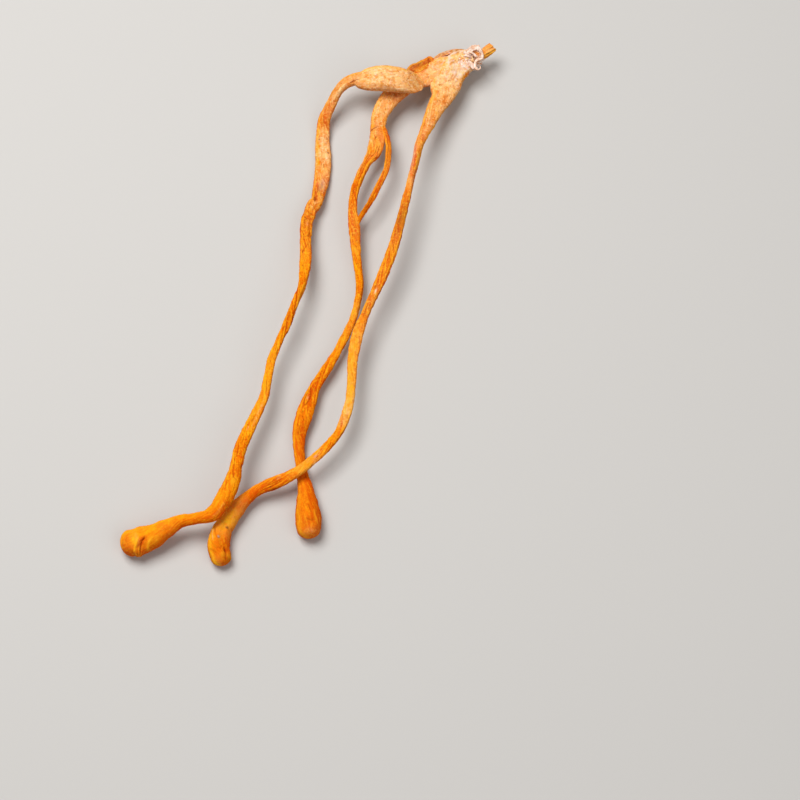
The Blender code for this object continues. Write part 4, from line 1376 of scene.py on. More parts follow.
@dataclass(frozen=True)
class MiddleStem:
    """The stem that leaves the base's arm under the lobe, with a sliver split from its side."""

    route: tuple[Section, ...] = MIDDLE_STEM
    sliver: tuple[Section, ...] = SLIVER
    seed: float = 5.0
    sliver_seed: float = 9.0
    joint: Point = (15.3, 36.0, 3.1)
    # The ruddy tones from 6 to 11, under the left stem's lobe, and from 69 to 72, beside the next stem, are
    # painted shade.
    tones: tuple[Tone, ...] = toned(
        (0, 0.9, 0, 0.45, 0.1, 0, 0.2), (4, 0.6, 0.55, 0.08, 0.1, 0, 0.3),
        (6, 0.48, 0.6, 0.05, 0.1, 0, 0.3), (9, 0.42, 0.55, 0.03), (11, 0.4, 0.7, 0.05), (13, 0.58, 0.3),
        (16, 0.62, 0.05), (18, 0.35, 0.45), (20, 0.2, 0.35), (22, 0.12, 0.3), (25, 0.05, 0.55),
        (28, 0, 1.0), (33, 0.1, 0.75), (36, 0.07, 0.85), (38, 0.05, 0.4), (41, 0, 0.2), (43.5, 0, 0.5),
        (46, 0.02, 0.05), (48.5, 0.12, 0), (51, 0.05, 0), (53.5, 0.02, 0.1), (57, 0, 0.5), (60, 0, 1.0),
        (62, 0, 0.8), (64, 0, 0.7), (66.5, 0, 0.7), (69, 0, 1.0), (72, 0, 1.0), (76, 0, 0.9),
        (82, 0, 0.75, 0, 0.1, 0.3), (86, 0.05, 0.5, 0, 0.1, 0.3),
    )
    # CREASE lines and spots darken creases and cracks, partly with painted shade; GLOW ones are painted
    # highlights.
    lines: tuple[Line, ...] = marked(Line, {
        Mark.CREASE: (
            (((17.9, 1.15), (17.55, 0.85), (17.25, 0.3), (17.0, -0.1)), 0.12, 0.09, 1.1),
            (((18.6, 0.5), (19.0, 0.3), (19.7, 0.5)), 0.05, 0.07, 0.72),
            (((13.4, -0.4), (14.0, -0.6)), 0.05, 0.07, 0.6),
            (((20.2, -0.25), (21.6, -0.3), (22.4, -0.1)), 0.06, 0.07, 0.72),
            (((20.2, -0.65), (21.5, -0.55)), 0.05, 0.07, 0.72),
            (((20.6, 0.85), (22.0, 0.75), (23.5, 0.35), (25.0, 0.25)), 0.05, 0.07, 0.6),
            (((21.4, 0.3), (24.0, 0.05), (27.0, 0.0)), 0.05, 0.08, 0.6),
            (((21.9, -1.0), (22.3, -0.7)), 0.12, 0.12, 0.96),
            (((22.0, -0.15), (25.0, -0.3), (29.0, -0.35)), 0.06, 0.08, 0.6),
            (((49.5, 0.6), (50.3, -0.4)), 0.04, 0.08, 0.48),
            (((62.0, 0.55), (62.4, 0.45), (62.9, 0.15), (63.8, 0.0), (64.7, 0.12),
             (65.1, 0.4)), 0.08, 0.08, 0.96),
            (((62.1, 0.55), (62.5, 0.5)), 0.1, 0.1, 1.1),
            (((62.5, 0.6), (63.5, 0.72), (64.6, 0.65), (65.1, 0.4)), 0.05, 0.07, 0.72),
            (((65.9, 0.35), (66.2, 0.2)), 0.05, 0.07, 0.96), (((66.7, 0.2), (66.9, 0.0)), 0.05, 0.07, 0.96),
            (((67.1, -0.1), (67.3, -0.35)), 0.05, 0.07, 0.96),
            (((68.0, 0.5), (68.3, 0.35)), 0.05, 0.07, 0.96), (((69.2, 0.2), (69.5, 0.1)), 0.05, 0.07, 0.96),
            (((83.2, 0.1), (83.5, -0.5), (83.4, -1.0)), 0.15, 0.14, 0.55),
            (((81.2, -0.2), (82.4, -0.5)), 0.06, 0.1, 0.6),
        ),
        Mark.PALE: ((((20.5, 1.05), (22.0, 0.9), (24.0, 0.45), (27.0, 0.3)), -0.05, 0.08, 0.6),),
        Mark.GLOW: (
            (((22.0, -0.5), (25.0, -0.55), (30.0, -0.55)), -0.05, 0.1, 0.6),
            (((82.0, -0.9), (84.0, -1.35)), -0.05, 0.15, 0.6),
        ),
    })
    spots: tuple[Spot, ...] = marked(Spot, {
        # The broad speck at 11.3 is painted shadow under the lobe.
        Mark.SPECK: ((19.0, 0.25, 0.12, 0.1, 0.8), (11.3, 0.0, 1.2, 1.0, 0.25)),
        Mark.PALE: ((19.5, 0.9, 0.5, 0.2, 0.5), (14.6, 0.6, 0.9, 0.2, 0.4), (85.0, -0.3, 0.4, 0.9, 0.25)),
        # The broad spot at 69 is painted shadow of the next stem; the one at 59.5 darkens that stretch.
        Mark.CREASE: (
            (17.65, 0.95, 0.2, 0.15, 0.7), (69.0, 0.0, 1.5, 0.8, 0.18), (59.5, 0.0, 1.8, 0.7, 0.1),
        ),
        Mark.GLOW: ((53.7, -0.1, 1.7, 0.3, 0.5), (48.6, 0.0, 1.6, 0.4, 0.6)),
        Mark.RESIDUE: ((63.8, 0.38, 0.28, 0.14, 0.15),),
        Mark.BLUSH: ((63.5, 0.3, 1.4, 0.6, 0.7), (83.5, -1.2, 1.0, 0.8, 0.6)),
    })
    # The sliver lies in shade: its full ruddy tone and its dark crease spots are painted shade.
    sliver_tones: tuple[Tone, ...] = toned((0, 0.05, 1.0), (9, 0.1, 1.0), (14, 0, 1.0), (18, 0, 1.0))
    sliver_spots: tuple[Spot, ...] = marked(Spot, {
        Mark.CREASE: ((16.6, 0.0, 2.2, 0.7, 0.52), (6.0, 0.0, 2.0, 0.6, 0.2)),
    })
    sliver_lines: tuple[Line, ...] = marked(Line, {
        Mark.CREASE: (
            (((1.0, 0.0), (9.0, 0.05), (17.0, 0.0)), 0.06, 0.07, 0.6),
            (((1.0, -0.3), (9.0, -0.35), (17.0, -0.3)), 0.02, 0.14, 0.35),
        ),
        Mark.GLOW: ((((2.0, 0.3), (9.0, 0.35), (16.0, 0.25)), -0.03, 0.08, 0.5),),
    })

    def build(self) -> None:
        """Builds and dresses the stem and its sliver."""
        material = DriedFlesh("dried_cordyceps_middle_stem").material()
        stem = Ribbon("middle_stem_skin", self.route, self.seed, self.tones, self.lines, self.spots,
                      first=End.JOINT, last=End.CLUB, start_near=self.joint).build()
        dress(stem, material, "middle_stem")
        sliver = Ribbon("middle_stem_sliver", self.sliver, self.sliver_seed, self.sliver_tones,
                        self.sliver_lines, self.sliver_spots, sides=48, billow=0.04).build()
        dress(sliver, material, "middle_stem")


@dataclass(frozen=True)
class FrontStem:
    """The stem that the base narrows into, which passes over the middle stem to its long club head."""

    route: tuple[Section, ...] = FRONT_STEM
    seed: float = 13.0
    joint: Point = (20.1, 34.3, 3.3)
    tones: tuple[Tone, ...] = toned(
        (0, 0.9, 0, 0.6, 0.1, 0.4, 0.3), (3, 0.95, 0, 0.6, 0.1, 0.1, 0.15), (5, 1.0, 0, 0.7, 0.1, 0, 0.15),
        (7, 0.95, 0, 0.3, 0.1, 0, 0.15), (9, 0.85, 0.1, 0, 0.1, 0, 0.2), (11.5, 0.5, 0.4, 0, 0.1),
        (14, 0.5, 0.35), (17, 0.42, 0.5), (20, 0.2, 0.8, 0.05), (24, 0.08, 1.0, 0.05), (26.5, 0.35, 0),
        (29, 0.07, 0.6), (31, 0.05, 1.0), (34, 0.05, 1.0), (37, 0.1, 0.85), (40, 0.04, 1.0),
        (44, 0.07, 1.0), (47, 0.12, 0.6), (50, 0.08, 0.3), (53, 0.17, 0), (58, 0.12, 0), (62, 0.25, 0),
        (64.3, 0.6, 0), (66.3, 0.42, 0), (68, 0.02, 0.35), (71, 0, 0.5), (73.5, 0.12, 0), (76, 0.12, 0),
        (79, 0, 0.75), (82, 0, 1.0), (85, 0, 0.85), (86.5, 0.15, 0.4), (89, 0.2, 0), (91, 0.15, 0),
        (92.5, 0.05, 0), (94, 0, 0.4), (96, 0, 1.0),
    )
    # CREASE lines and spots darken creases and cracks, partly with painted shade; GLOW ones are painted
    # highlights.
    sheet_lines: tuple[Line, ...] = marked(Line, {
        Mark.CREASE: (
            (((4.4, -0.7), (5.6, -1.3), (7.0, -1.5), (8.5, -1.35)), 0.05, 0.09, 0.55),
            (((4.8, -0.4), (6.2, -1.0), (8.0, -1.05)), 0.05, 0.08, 0.5),
            (((5.2, 0.1), (6.8, -0.6), (8.6, -0.7)), 0.05, 0.08, 0.5),
            (((2.0, -0.2), (2.6, -0.9), (3.2, -1.2)), 0.1, 0.1, 0.8),
            (((2.6, 0.3), (3.2, -0.2), (3.4, -0.8)), 0.1, 0.1, 0.7),
            (((3.2, 0.9), (3.9, 0.3)), 0.08, 0.09, 0.6), (((3.9, -0.3), (4.5, -0.9)), 0.06, 0.08, 0.5),
            (((2.4, 1.1), (3.1, 0.7)), 0.06, 0.08, 0.5), (((6.6, 1.85), (7.1, 1.5)), 0.08, 0.1, 0.8),
            (((1.5, 0.9), (2.8, 1.3), (3.8, 1.7)), 0.06, 0.1, 0.6),
            (((8.0, 0.3), (10.5, 0.1)), 0.04, 0.07, 0.4), (((9.0, -0.9), (11.5, -0.7)), 0.04, 0.07, 0.4),
            (((12.8, 0.5), (15.5, 0.0)), 0.04, 0.06, 0.4), (((15.5, 0.6), (18.5, 0.2)), 0.04, 0.06, 0.4),
        ),
        Mark.PALE: (
            (((3.6, -1.75), (4.6, -1.85), (5.6, -1.75), (7.4, -1.45)), -0.08, 0.12, 0.6),
            (((13.6, 0.9), (16.2, 0.3)), -0.03, 0.09, 0.5), (((14.5, 0.2), (17.0, -0.2)), -0.03, 0.09, 0.5),
        ),
        Mark.SPECK: (
            (((2.75, -0.3), (2.35, -0.85), (1.85, -1.2)), 0.2, 0.18, 1.1),
            (((2.15, -1.15), (2.3, -1.45), (2.2, -1.7)), 0.15, 0.12, 0.9),
            (((3.0, 0.2), (3.5, -0.05), (4.1, 0.1)), 0.1, 0.1, 0.5),
            (((3.3, 0.5), (4.0, 0.35)), 0.08, 0.08, 0.5),
        ),
        Mark.RESIDUE: (
            (((3.0, -1.0), (3.9, -1.1), (4.6, -0.8)), -0.08, 0.14, 0.6),
            (((3.2, -1.95), (5.0, -2.1), (7.5, -2.2)), 0.0, 0.25, -0.8),
        ),
        Mark.BLUSH: ((((3.2, -2.0), (5.0, -2.15), (7.5, -2.25)), 0.02, 0.22, 0.9),),
        Mark.GLOW: (
            (((3.4, -2.0), (5.0, -2.15), (7.0, -2.2)), 0.0, 0.2, 0.15),
            (((16.0, -1.0), (18.0, -0.85), (20.5, -0.65), (24.5, -0.42)), -0.06, 0.1, 0.7),
        ),
    })
    ribbon_lines: tuple[Line, ...] = marked(Line, {
        Mark.GLOW: (
            (((34.0, -0.6), (38.0, -0.5), (44.0, -0.5)), -0.06, 0.1, 0.65),
            (((34.0, 0.7), (40.0, 0.85), (46.0, 0.7), (50.0, 0.5)), -0.06, 0.1, 0.65),
            (((63.5, -0.6), (66.0, -0.55), (69.0, -0.5)), -0.05, 0.1, 0.65),
        ),
        Mark.CREASE: (
            (((36.5, 0.1), (38.5, -0.1)), 0.04, 0.08, 0.39), (((40.5, 0.3), (42.5, 0.1)), 0.04, 0.08, 0.39),
            (((47.5, 0.1), (49.8, 0.0)), 0.05, 0.08, 0.59),
            (((46.8, -0.2), (48.5, -0.3)), 0.05, 0.08, 0.49),
            (((52.9, 0.5), (53.2, 0.0), (52.9, -0.5)), 0.05, 0.11, 0.39),
            (((79.3, 0.05), (80.5, -0.2), (81.5, -0.1), (82.6, -0.35)), 0.08, 0.1, 0.68),
            (((79.5, -0.35), (81.0, -0.5), (82.8, -0.55)), 0.07, 0.08, 0.59),
            (((80.0, 0.3), (81.2, 0.15), (82.4, 0.2)), 0.07, 0.08, 0.59),
            (((79.4, -1.15), (81.0, -1.0), (83.0, -0.95)), 0.1, 0.14, 0.78),
        ),
        Mark.BLUSH: ((((65.4, 0.65), (66.4, 0.3), (67.4, -0.15)), 0.1, 0.16, 1.0),),
        Mark.PALE: ((((74.0, -0.6), (76.0, -0.95)), -0.04, 0.09, 0.65),),
    })
    head_lines: tuple[Line, ...] = marked(Line, {
        Mark.CREASE: (
            (((91.4, 1.15), (92.3, 0.7), (93.0, 0.3)), 0.12, 0.14, 0.48, 0.05),
            (((90.5, -0.1), (92.5, -0.45), (94.6, -0.3)), 0.12, 0.38, 0.21),
            (((90.6, -1.25), (91.3, -1.5)), 0.08, 0.14, 0.36),
            (((91.0, -1.0), (91.6, -1.3)), 0.08, 0.12, 0.36),
            (((93.3, 1.2), (94.3, 0.5), (94.5, -0.3), (93.8, -1.0)), 0.05, 0.14, 0.3),
            (((94.3, 1.2), (95.1, 0.5)), 0.06, 0.15, 0.36),
            (((95.0, -0.9), (96.3, -0.6)), 0.12, 0.15, 0.48),
            (((94.4, -0.75), (95.2, -1.0)), 0.14, 0.18, 0.48),
        ),
        Mark.PALE: ((((91.6, 1.25), (92.6, 1.0), (93.4, 0.75)), -0.06, 0.1, 0.6),),
        Mark.GLOW: ((((94.6, 1.3), (96.2, 1.1), (97.2, 0.4), (97.4, -0.3)), -0.05, 0.25, 0.7),),
    })
    spots: tuple[Spot, ...] = marked(Spot, {
        # The spots at 3.5, at the sheet's corner, and at 96, at the head's end, are painted shadow.
        Mark.CREASE: (
            (3.5, 1.7, 0.35, 0.4, 0.6), (12.0, -0.35, 0.12, 0.1, 0.7), (11.7, -1.0, 0.12, 0.12, 0.7),
            (96.0, -0.7, 0.7, 0.7, 0.4), (95.0, -0.9, 0.35, 0.3, 0.8, 0.15), (95.6, 1.35, 0.5, 0.2, 0.5),
        ),
        Mark.PALE: (
            (5.0, -2.2, 2.6, 0.22, -0.9), (45.3, -0.15, 0.45, 0.14, 1.0), (73.2, 0.0, 0.7, 0.3, 0.2),
            (79.8, 0.3, 0.3, 0.15, 0.4), (79.6, 0.6, 0.3, 0.15, 0.4), (96.6, 0.5, 0.9, 0.6, 0.12, -0.05),
        ),
        # The broad speck at 33 darkens that stretch of the stem.
        Mark.SPECK: (
            (3.8, 0.1, 0.25, 0.2, 0.5), (8.8, 0.8, 0.1, 0.12, 0.7), (11.2, 0.5, 0.1, 0.1, 0.7),
            (12.0, 0.1, 0.1, 0.1, 0.7), (4.6, 0.6, 0.4, 0.3, 0.4), (5.6, -0.3, 0.3, 0.3, 0.4),
            (81.3, -0.5, 0.12, 0.1, 0.7), (33.0, 0.0, 2.5, 1.0, 0.45), (91.0, -0.7, 0.19, 0.19, 1.6, 0.12),
            (92.85, 0.0, 0.26, 0.26, 1.0, 0.15),
        ),
        Mark.BLUSH: ((4.4, 1.4, 0.8, 0.5, 0.5),),
        Mark.RESIDUE: (
            (22.5, 0.2, 2.0, 0.3, 0.25), (45.3, -0.15, 0.3, 0.1, 0.6), (73.4, 0.05, 0.25, 0.12, 0.4),
            (4.3, -1.0, 2.0, 0.8, 0.3), (92.8, 0.05, 0.13, 0.13, 0.5),
        ),
        # Painted glow; the one at 89.8 lightens the neck where the left stem shades it.
        Mark.GLOW: (
            (89.8, -0.2, 1.8, 1.0, 0.9), (56.0, 0.0, 4.5, 0.45, 0.55), (62.5, 0.0, 3.0, 0.5, 0.75),
            (75.5, -0.2, 1.6, 0.5, 0.5), (95.6, -0.5, 0.6, 0.5, 0.7, -0.05),
            (95.8, -1.3, 0.6, 0.4, 0.5, -0.05), (93.0, 1.4, 1.5, 0.25, 0.5),
        ),
    })

    def tube(self, name: str, **choices: Any) -> bpy.types.Object:
        """The tube from the base's end to the head, or a part of it.

        Args:
            name: The object's name.
            choices: Where the part starts and stops, and how it closes.

        Returns:
            The object.
        """
        lines = (*self.sheet_lines, *self.ribbon_lines, *self.head_lines)
        return Ribbon(name, self.route, self.seed, self.tones, lines, self.spots, **choices).build()

    def build(self) -> None:
        """Builds and dresses the stem."""
        stem = self.tube("front_stem_skin", first=End.JOINT, last=End.CLUB, start_near=self.joint)
        dress(stem, DriedFlesh("dried_cordyceps_front_stem").material(), "front_stem")


@dataclass(frozen=True)
class Base:
    """The broad pale sheet that the stems fork from, with its arm, its rolled edge and the arm's band."""

    crust_face: Point = (24.4, 39.8, 3.3)
    roll: tuple[Section, ...] = BASE_ROLL
    band: tuple[Section, ...] = BASE_BAND
    roll_seed: float = 29.0
    band_seed: float = 33.0
    roll_tones: tuple[Tone, ...] = toned((0, 0.7, 0.8, 0.3), (4, 0.55, 0.9, 0.3), (7, 0.4, 1.0, 0.15))
    band_tones: tuple[Tone, ...] = toned((0, 0.15, 1.0), (1.3, 0.12, 1.0), (2.5, 0.15, 1.0), (5, 0.2, 1.0))
    # The CREASE lines paint shade into the roll's and the band's creases.
    roll_lines: tuple[Line, ...] = marked(Line, {
        Mark.CREASE: ((((0.8, -0.4), (3.5, -0.45), (6.0, -0.4)), 0.05, 0.08, 0.8),),
        Mark.SPECK: ((((0.0, 0.1), (3.0, 0.1), (7.0, 0.1)), 0.02, 0.35, 0.4),),
    })
    band_lines: tuple[Line, ...] = marked(Line, {
        Mark.CREASE: (
            (((0.2, 1.0), (0.5, 0.2), (0.9, -0.5), (1.0, -1.0)), 0.1, 0.16, 0.9),
            (((2.0, 0.2), (3.6, 0.3)), 0.05, 0.08, 0.6), (((3.0, -0.6), (4.4, -0.3)), 0.08, 0.1, 0.9),
            (((0.1, 0.7), (0.5, 0.0), (0.8, -0.7)), 0.04, 0.35, 0.5),
        ),
        Mark.SPECK: (
            (((1.0, 0.3), (3.0, 0.3), (5.0, 0.2)), 0.0, 0.9, 0.34),
            (((1.4, 0.8), (2.2, 0.6), (2.6, 0.0)), 0.04, 0.09, 0.5),
        ),
    })

    def build(self) -> None:
        """Builds and dresses the base."""
        stem, middle = FrontStem(), MiddleStem()
        sheet = stem.tube("base_sheet", start_near=self.crust_face, stop_near=stem.joint,
                          first=End.JOINT, last=End.JOINT)
        arm = Ribbon("base_arm", middle.route, middle.seed, middle.tones, middle.lines, middle.spots,
                     stop_near=middle.joint, last=End.JOINT).build()
        roll = Ribbon("base_roll", self.roll, self.roll_seed, self.roll_tones, self.roll_lines, sides=64,
                      billow=0.04).build()
        band = Ribbon("base_band", self.band, self.band_seed, self.band_tones, self.band_lines, sides=72,
                      billow=0.04, raggedness=0.1).build()
        base = united([sheet, arm, roll, band], "base_skin")
        bpy.ops.object.shade_smooth_by_angle(angle=SMOOTH)
        dress(base, DriedFlesh("dried_cordyceps_base").material(), "base")


@dataclass(frozen=True)
class Residue:
    """The crumbly residue on the base's end, with its flakes and a small curled scrap."""

    lumps: tuple[tuple[Point, Point], ...] = CRUST_LUMPS
    curl: tuple[Section, ...] = CURL
    flaps: tuple[tuple[Section, ...], ...] = FLAPS
    cracks: tuple[Crack, ...] = (
        Crack((24.85, 40.15), (25.4, 39.95), 0.34, 0.3, 0.0, 1.4),
        Crack((23.8, 38.95), (24.3, 38.65), 0.14, 0.35, 1.0),
        Crack((24.3, 38.65), (24.75, 38.6), 0.14, 0.35, 1.0),
        Crack((23.3, 39.45), (24.0, 39.25), 0.1, 0.25, 0.9),
        Crack((24.3, 39.3), (24.7, 39.45), 0.12, 0.3, 0.9),
        Crack((24.5, 38.7), (24.75, 38.2), 0.12, 0.3, 1.0),
        Crack((24.15, 39.05), (24.8, 39.2), 0.18, 0.25, 0.75, 0.6),
        Crack((24.3, 40.35), (24.75, 40.15), 0.1, 0.25, 0.7, 0.5),
        Crack((23.6, 40.5), (23.9, 41.1), 0.1, 0.2, 0.7, 0.5),
    )
    curl_tones: tuple[Tone, ...] = toned((0, 1, 0), (5, 1, 0))
    curl_seed: float = 41.0
    flap_seed: float = 47.0
    flap_tones: tuple[Tone, ...] = toned((0, 1, 0.15, 0, 0.25, 0.5, 0.9), (5, 1, 0.15, 0, 0.25, 0.5, 0.9))
    voxel: float = 0.055
    bump: float = 0.15
    bump_rate: float = 1.6
    seed: int = 31
    crumb_flakes: int = 26
    flake_size: Point = (0.42, 0.28, 0.09)
    flake_tilt: float = 0.35
    # The part of the sheet that flakes lie on: its corners across and along, and its height.
    sheet: tuple[tuple[float, float], tuple[float, float], float] = ((22.2, 38.3), (24.4, 40.0), 4.14)
    sheet_flakes: int = 16
    lump_fineness: int = 5
    flake_fineness: int = 2
    # How large the flakes of the crumbs and of the sheet are beside the usual one, at least and at most.
    crumb_flake_sizes: tuple[float, float] = (0.5, 1.2)
    sheet_flake_sizes: tuple[float, float] = (0.4, 1.0)
    sheet_flatness: float = 0.5
    # The crust's folds, lobes and crumbs: their patterns, and their heights in millimetres.
    folds: Weave = Weave(0.9, 0.9, shift=3)
    lobes: Weave = Weave(0.62, 0.62, shift=9)
    crumbs: Weave = Weave(0.3, 0.3)
    fold_height: float = 0.12
    lobe_height: float = 0.32
    crumb_height: float = 0.09
    # The noise of lobes and crumbs that is level with the plain crust.
    plain: float = 0.25
    # Where the hollows between lobes, crumbs and folds start and are full, and how dark the painted shade in
    # each is.
    lobe_hollow: Point = (-0.08, 0.0, 0.75)
    crumb_hollow: Point = (-0.08, 0.0, 0.15)
    fold_hollow: Point = (0.2, 0.6, 0.35)
    fold_warmth: Point = (0.0, 0.5, 0.3)
    crack_raggedness: float = 0.5
    crack_facing: tuple[float, float] = (0.0, 0.5)

    def ball(self, subdivisions: int) -> tuple[bpy.types.Object, np.ndarray]:
        """A new ball with its points, which are 1 from its middle.

        Args:
            subdivisions: How fine it is.

        Returns:
            The object and its points.
        """
        deselect()
        bpy.ops.mesh.primitive_ico_sphere_add(subdivisions=subdivisions, radius=1.0)
        thing = bpy.context.object
        return thing, mesh_points(thing)

    def lump(self, number: int, centre: Point, half_sizes: Point) -> bpy.types.Object:
        """An egg-shaped crumb with a bumpy skin.

        Args:
            number: Which crumb it is.
            centre: Its middle.
            half_sizes: Its half sizes across, along and up.

        Returns:
            The object.
        """
        thing, ball = self.ball(self.lump_fineness)
        place = Vector((self.seed + number, 0, 0))
        bump = [1 + self.bump * noise.noise(Vector(point) * self.bump_rate + place) for point in ball]
        move_points(thing, placed(ball * half_sizes * np.array(bump)[:, None] + centre))
        return thing

    def flake(self, place: np.ndarray, facing: np.ndarray, size: float, turn: float) -> bpy.types.Object:
        """A thin chip that lies on a surface.

        Args:
            place: Its middle.
            facing: The way its flat side faces.
            size: How large it is beside the usual flake.
            turn: Its turn about the way it faces, in radians.

        Returns:
            The object.
        """
        thing, ball = self.ball(self.flake_fineness)
        lie = np.array(Vector(facing).to_track_quat("Z", "Y").to_matrix() @ Matrix.Rotation(turn, 3, "Z"))
        move_points(thing, placed((ball * self.flake_size * size) @ lie.T + place))
        return thing

    def flakes(self) -> list[bpy.types.Object]:
        """The chips that stick out of the crumbs, and those that lie on the sheet.

        Returns:
            The chips.
        """
        draw = np.random.default_rng(self.seed)
        made = []
        for _ in range(self.crumb_flakes):
            centre, half_sizes = self.lumps[draw.integers(len(self.lumps))]
            facing = draw.normal(size=3)
            facing[2] = abs(facing[2])
            facing /= np.linalg.norm(facing)
            tilt = facing + self.flake_tilt * draw.normal(size=3)
            place = np.array(centre) + facing * half_sizes
            size = draw.uniform(*self.crumb_flake_sizes)
            made.append(self.flake(place, tilt, size, draw.uniform(0, math.pi)))
        low, high, level = self.sheet
        for _ in range(self.sheet_flakes):
            place = np.array((*draw.uniform(low, high), level))
            tilt = np.array((0, 0, 1)) + self.sheet_flatness * self.flake_tilt * draw.normal(size=3)
            size = draw.uniform(*self.sheet_flake_sizes)
            made.append(self.flake(place, tilt, size, draw.uniform(0, math.pi)))
        return made

    def roughen(self, crust: bpy.types.Object) -> None:
        """Folds, cracks and grits the fused crust, and paints shade into its hollows.

        Args:
            crust: The fused crust.
        """
        points = mesh_points(crust)
        normals = np.array([vertex.normal for vertex in crust.data.vertices])
        place = (points / MM).T
        grain = Grain(self.seed)
        folds = grain.on(self.folds, *place)
        lobes = np.abs(grain.on(self.lobes, *place))
        crumbs = np.abs(grain.on(self.crumbs, *place))
        height = (self.fold_height * folds + self.lobe_height * (lobes - self.plain)
                  + self.crumb_height * (crumbs - self.plain))
        hollow, warm = np.zeros(len(points)), self.fold_warmth[2] * ramp(folds, *self.fold_warmth[:2])
        for value, (low, high, dark) in ((lobes, self.lobe_hollow), (crumbs, self.crumb_hollow),
                                         (folds, self.fold_hollow)):
            hollow += dark * ramp(-value, low, high)
        for crack in self.cracks:
            run = np.subtract(crack.end, crack.start)
            across, along = (place[axis] + MIDDLE[axis] - crack.start[axis] for axis in (0, 1))
            part = np.clip((across * run[0] + along * run[1]) / (run @ run), 0, 1)
            gap = np.hypot(across - part * run[0], along - part * run[1])
            drawn = np.exp(-(gap / (crack.width * (1 + self.crack_raggedness * folds))) ** 2)
            drawn *= ramp(normals[:, 2], *self.crack_facing)
            height -= crack.depth * drawn
            hollow += crack.dark * drawn
            warm += crack.warm * drawn
        moved = points + normals * height[:, None] * MM
        moved[:, 2] = np.maximum(moved[:, 2], 0.0)
        move_points(crust, moved)
        write_attribute(crust, Mark.CREASE.value, np.clip(hollow, 0, 1))
        write_attribute(crust, Mark.BLUSH.value, np.clip(warm, 0, 1))

    def build(self) -> None:
        """Builds and dresses the crust, its curled scrap and its flaps."""
        material = Crust().material()
        lumps = [self.lump(number, *size) for number, size in enumerate(self.lumps)]
        crust = joined([*lumps, *self.flakes()], "crust_residue")
        only(crust)
        step = crust.modifiers.new("fuse", "REMESH")
        step.mode = "VOXEL"
        step.voxel_size = self.voxel * MM
        bpy.ops.object.modifier_apply(modifier=step.name)
        self.roughen(crust)
        bpy.ops.object.shade_smooth()
        dress(crust, material, "crust")
        curl = Ribbon("crust_curl", self.curl, self.curl_seed, self.curl_tones, sides=48, step=0.05,
                      billow=0.02, raggedness=0.12, slant=0.0).build()
        dress(curl, material, "crust")
        flaps = [
            Ribbon("flap", route, self.flap_seed + number, self.flap_tones, sides=64, step=0.04,
                   billow=0.06, felt=0.05, raggedness=0.25, slant=0.0).build()
            for number, route in enumerate(self.flaps)
        ]
        dress(joined(flaps, "crust_flaps"), material, "crust")


@dataclass(frozen=True)
class Stub:
    """The ridged, broken end of a fourth stem, which sticks out of the crust."""

    route: tuple[Section, ...] = STUB
    seed: float = 3.0
    tones: tuple[Tone, ...] = toned((0, 0.35, 0.2), (2.5, 0.4, 0.1), (4, 0.45, 0))
    ridges: int = 9
    # The GLOW line paints light along the stub's shaded lower side.
    lines: tuple[Line, ...] = marked(Line, {
        Mark.GLOW: ((((1.0, 0.55), (2.4, 0.7), (3.7, 0.65)), 0.0, 0.3, 0.35),),
    })
    spots: tuple[Spot, ...] = marked(Spot, {
        Mark.SPECK: ((2.3, 0.55, 0.15, 0.1, 0.9, 0.05), (2.0, 0.5, 0.1, 0.1, 0.9, 0.05)),
    })

    def build(self) -> None:
        """Builds and dresses the stub."""
        # Its shade of 1.4 paints shade between the ridges.
        stub = Ribbon("stub_skin", self.route, self.seed, self.tones, self.lines, self.spots,
                      last=End.BREAK, sides=120, ridges=self.ridges, shade=1.4, step=0.06,
                      billow=0.03, slant=0.0).build()
        dress(stub, DriedFlesh("dried_cordyceps_stub").material(), "stub")


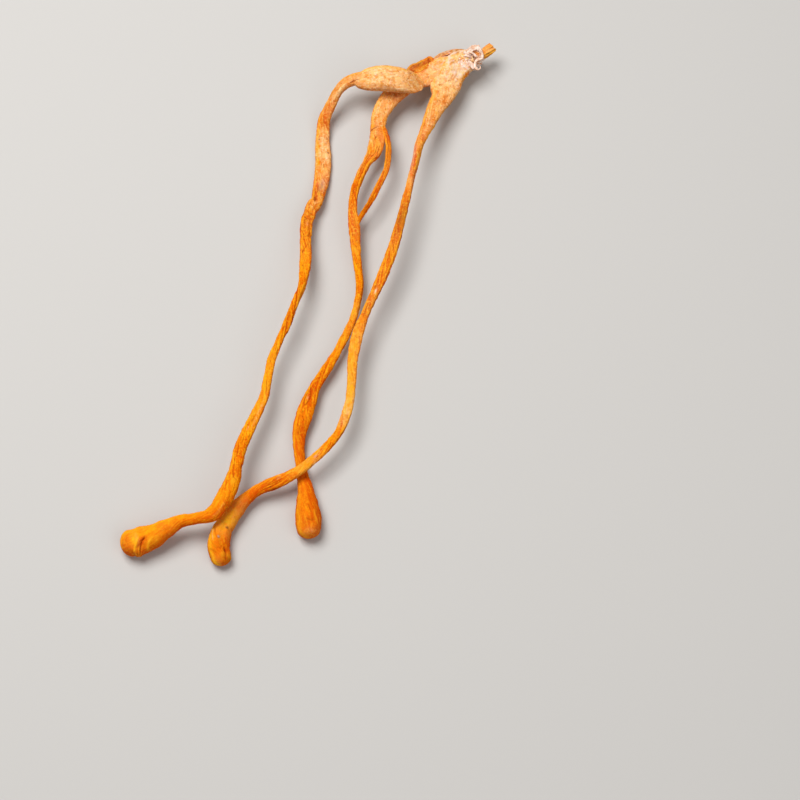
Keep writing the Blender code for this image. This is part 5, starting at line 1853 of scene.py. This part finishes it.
@dataclass(frozen=True)
class Studio:
    """The pale floor, the soft lights and the camera at the photograph's angle."""

    target: Point = (13.04, -15.873, 0.0)
    distance: float = 400.0
    elevation: float = 70.0
    lens: float = 120.0
    sensor: float = 36.0
    floor_size: float = 3.0
    floor_colour: str = "#C4C1BD"
    floor_roughness: float = 0.9
    room_light: float = 0.2
    # Each light: where it stands in metres from the target, the length of its side and its power in watts.
    key: tuple[Point, float, float] = ((-0.15, 0.14, 0.42), 0.28, 2.36)
    fill: tuple[Point, float, float] = ((0.25, -0.25, 0.40), 0.4, 0.65)

    def light(self, name: str, place: Point, size: float, power: float) -> None:
        """Adds a soft square light that faces the cluster.

        Args:
            name: Its name.
            place: Where it stands, in metres from the target.
            size: The length of its side in metres.
            power: Its power in watts.
        """
        data = bpy.data.lights.new(name, "AREA")
        data.energy = power
        data.size = size
        lamp = bpy.data.objects.new(name, data)
        bpy.context.scene.collection.objects.link(lamp)
        lamp.location = Vector(self.target) * MM + Vector(place)
        lamp.rotation_euler = (-Vector(place)).to_track_quat("-Z", "Y").to_euler()

    def floor(self) -> None:
        """Adds the floor, a sheet of matt card that gives a plain ground with a soft shadow."""
        deselect()
        bpy.ops.mesh.primitive_plane_add(size=self.floor_size)
        floor = bpy.context.object
        floor.name = "floor"
        card = bpy.data.materials.new("matt_pale_card")
        card.use_nodes = True
        shader = card.node_tree.nodes["Principled BSDF"]
        shader.inputs["Base Color"].default_value = linear(self.floor_colour)
        shader.inputs["Roughness"].default_value = self.floor_roughness
        floor.data.materials.append(card)

    def camera(self) -> None:
        """Adds the camera, which looks down at the cluster from the photograph's side."""
        data = bpy.data.cameras.new("camera")
        data.lens = self.lens
        data.sensor_width = self.sensor
        camera = bpy.data.objects.new("camera", data)
        bpy.context.scene.collection.objects.link(camera)
        angle = math.radians(self.elevation)
        back = Vector((0.0, -math.cos(angle), math.sin(angle)))
        camera.location = (Vector(self.target) + back * self.distance) * MM
        camera.rotation_euler = (math.radians(90 - self.elevation), 0.0, 0.0)
        bpy.context.scene.camera = camera

    def build(self) -> None:
        """Builds the floor, the lights and the camera."""
        self.floor()
        self.light("key", *self.key)
        self.light("fill", *self.fill)
        world = bpy.data.worlds.new("soft_room")
        world.use_nodes = True
        world.node_tree.nodes["Background"].inputs["Color"].default_value = linear("#FFFFFF")
        world.node_tree.nodes["Background"].inputs["Strength"].default_value = self.room_light
        bpy.context.scene.world = world
        bpy.context.scene.view_settings.view_transform = "Standard"
        self.camera()


def main() -> None:
    """Builds the cluster and its studio."""
    logging.basicConfig(level=logging.INFO, format="%(name)s %(message)s")
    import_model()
    for part in (LeftStem(), MiddleStem(), FrontStem(), Base(), Residue(), Stub(), Studio()):
        part.build()


if __name__ == "__main__":
    main()
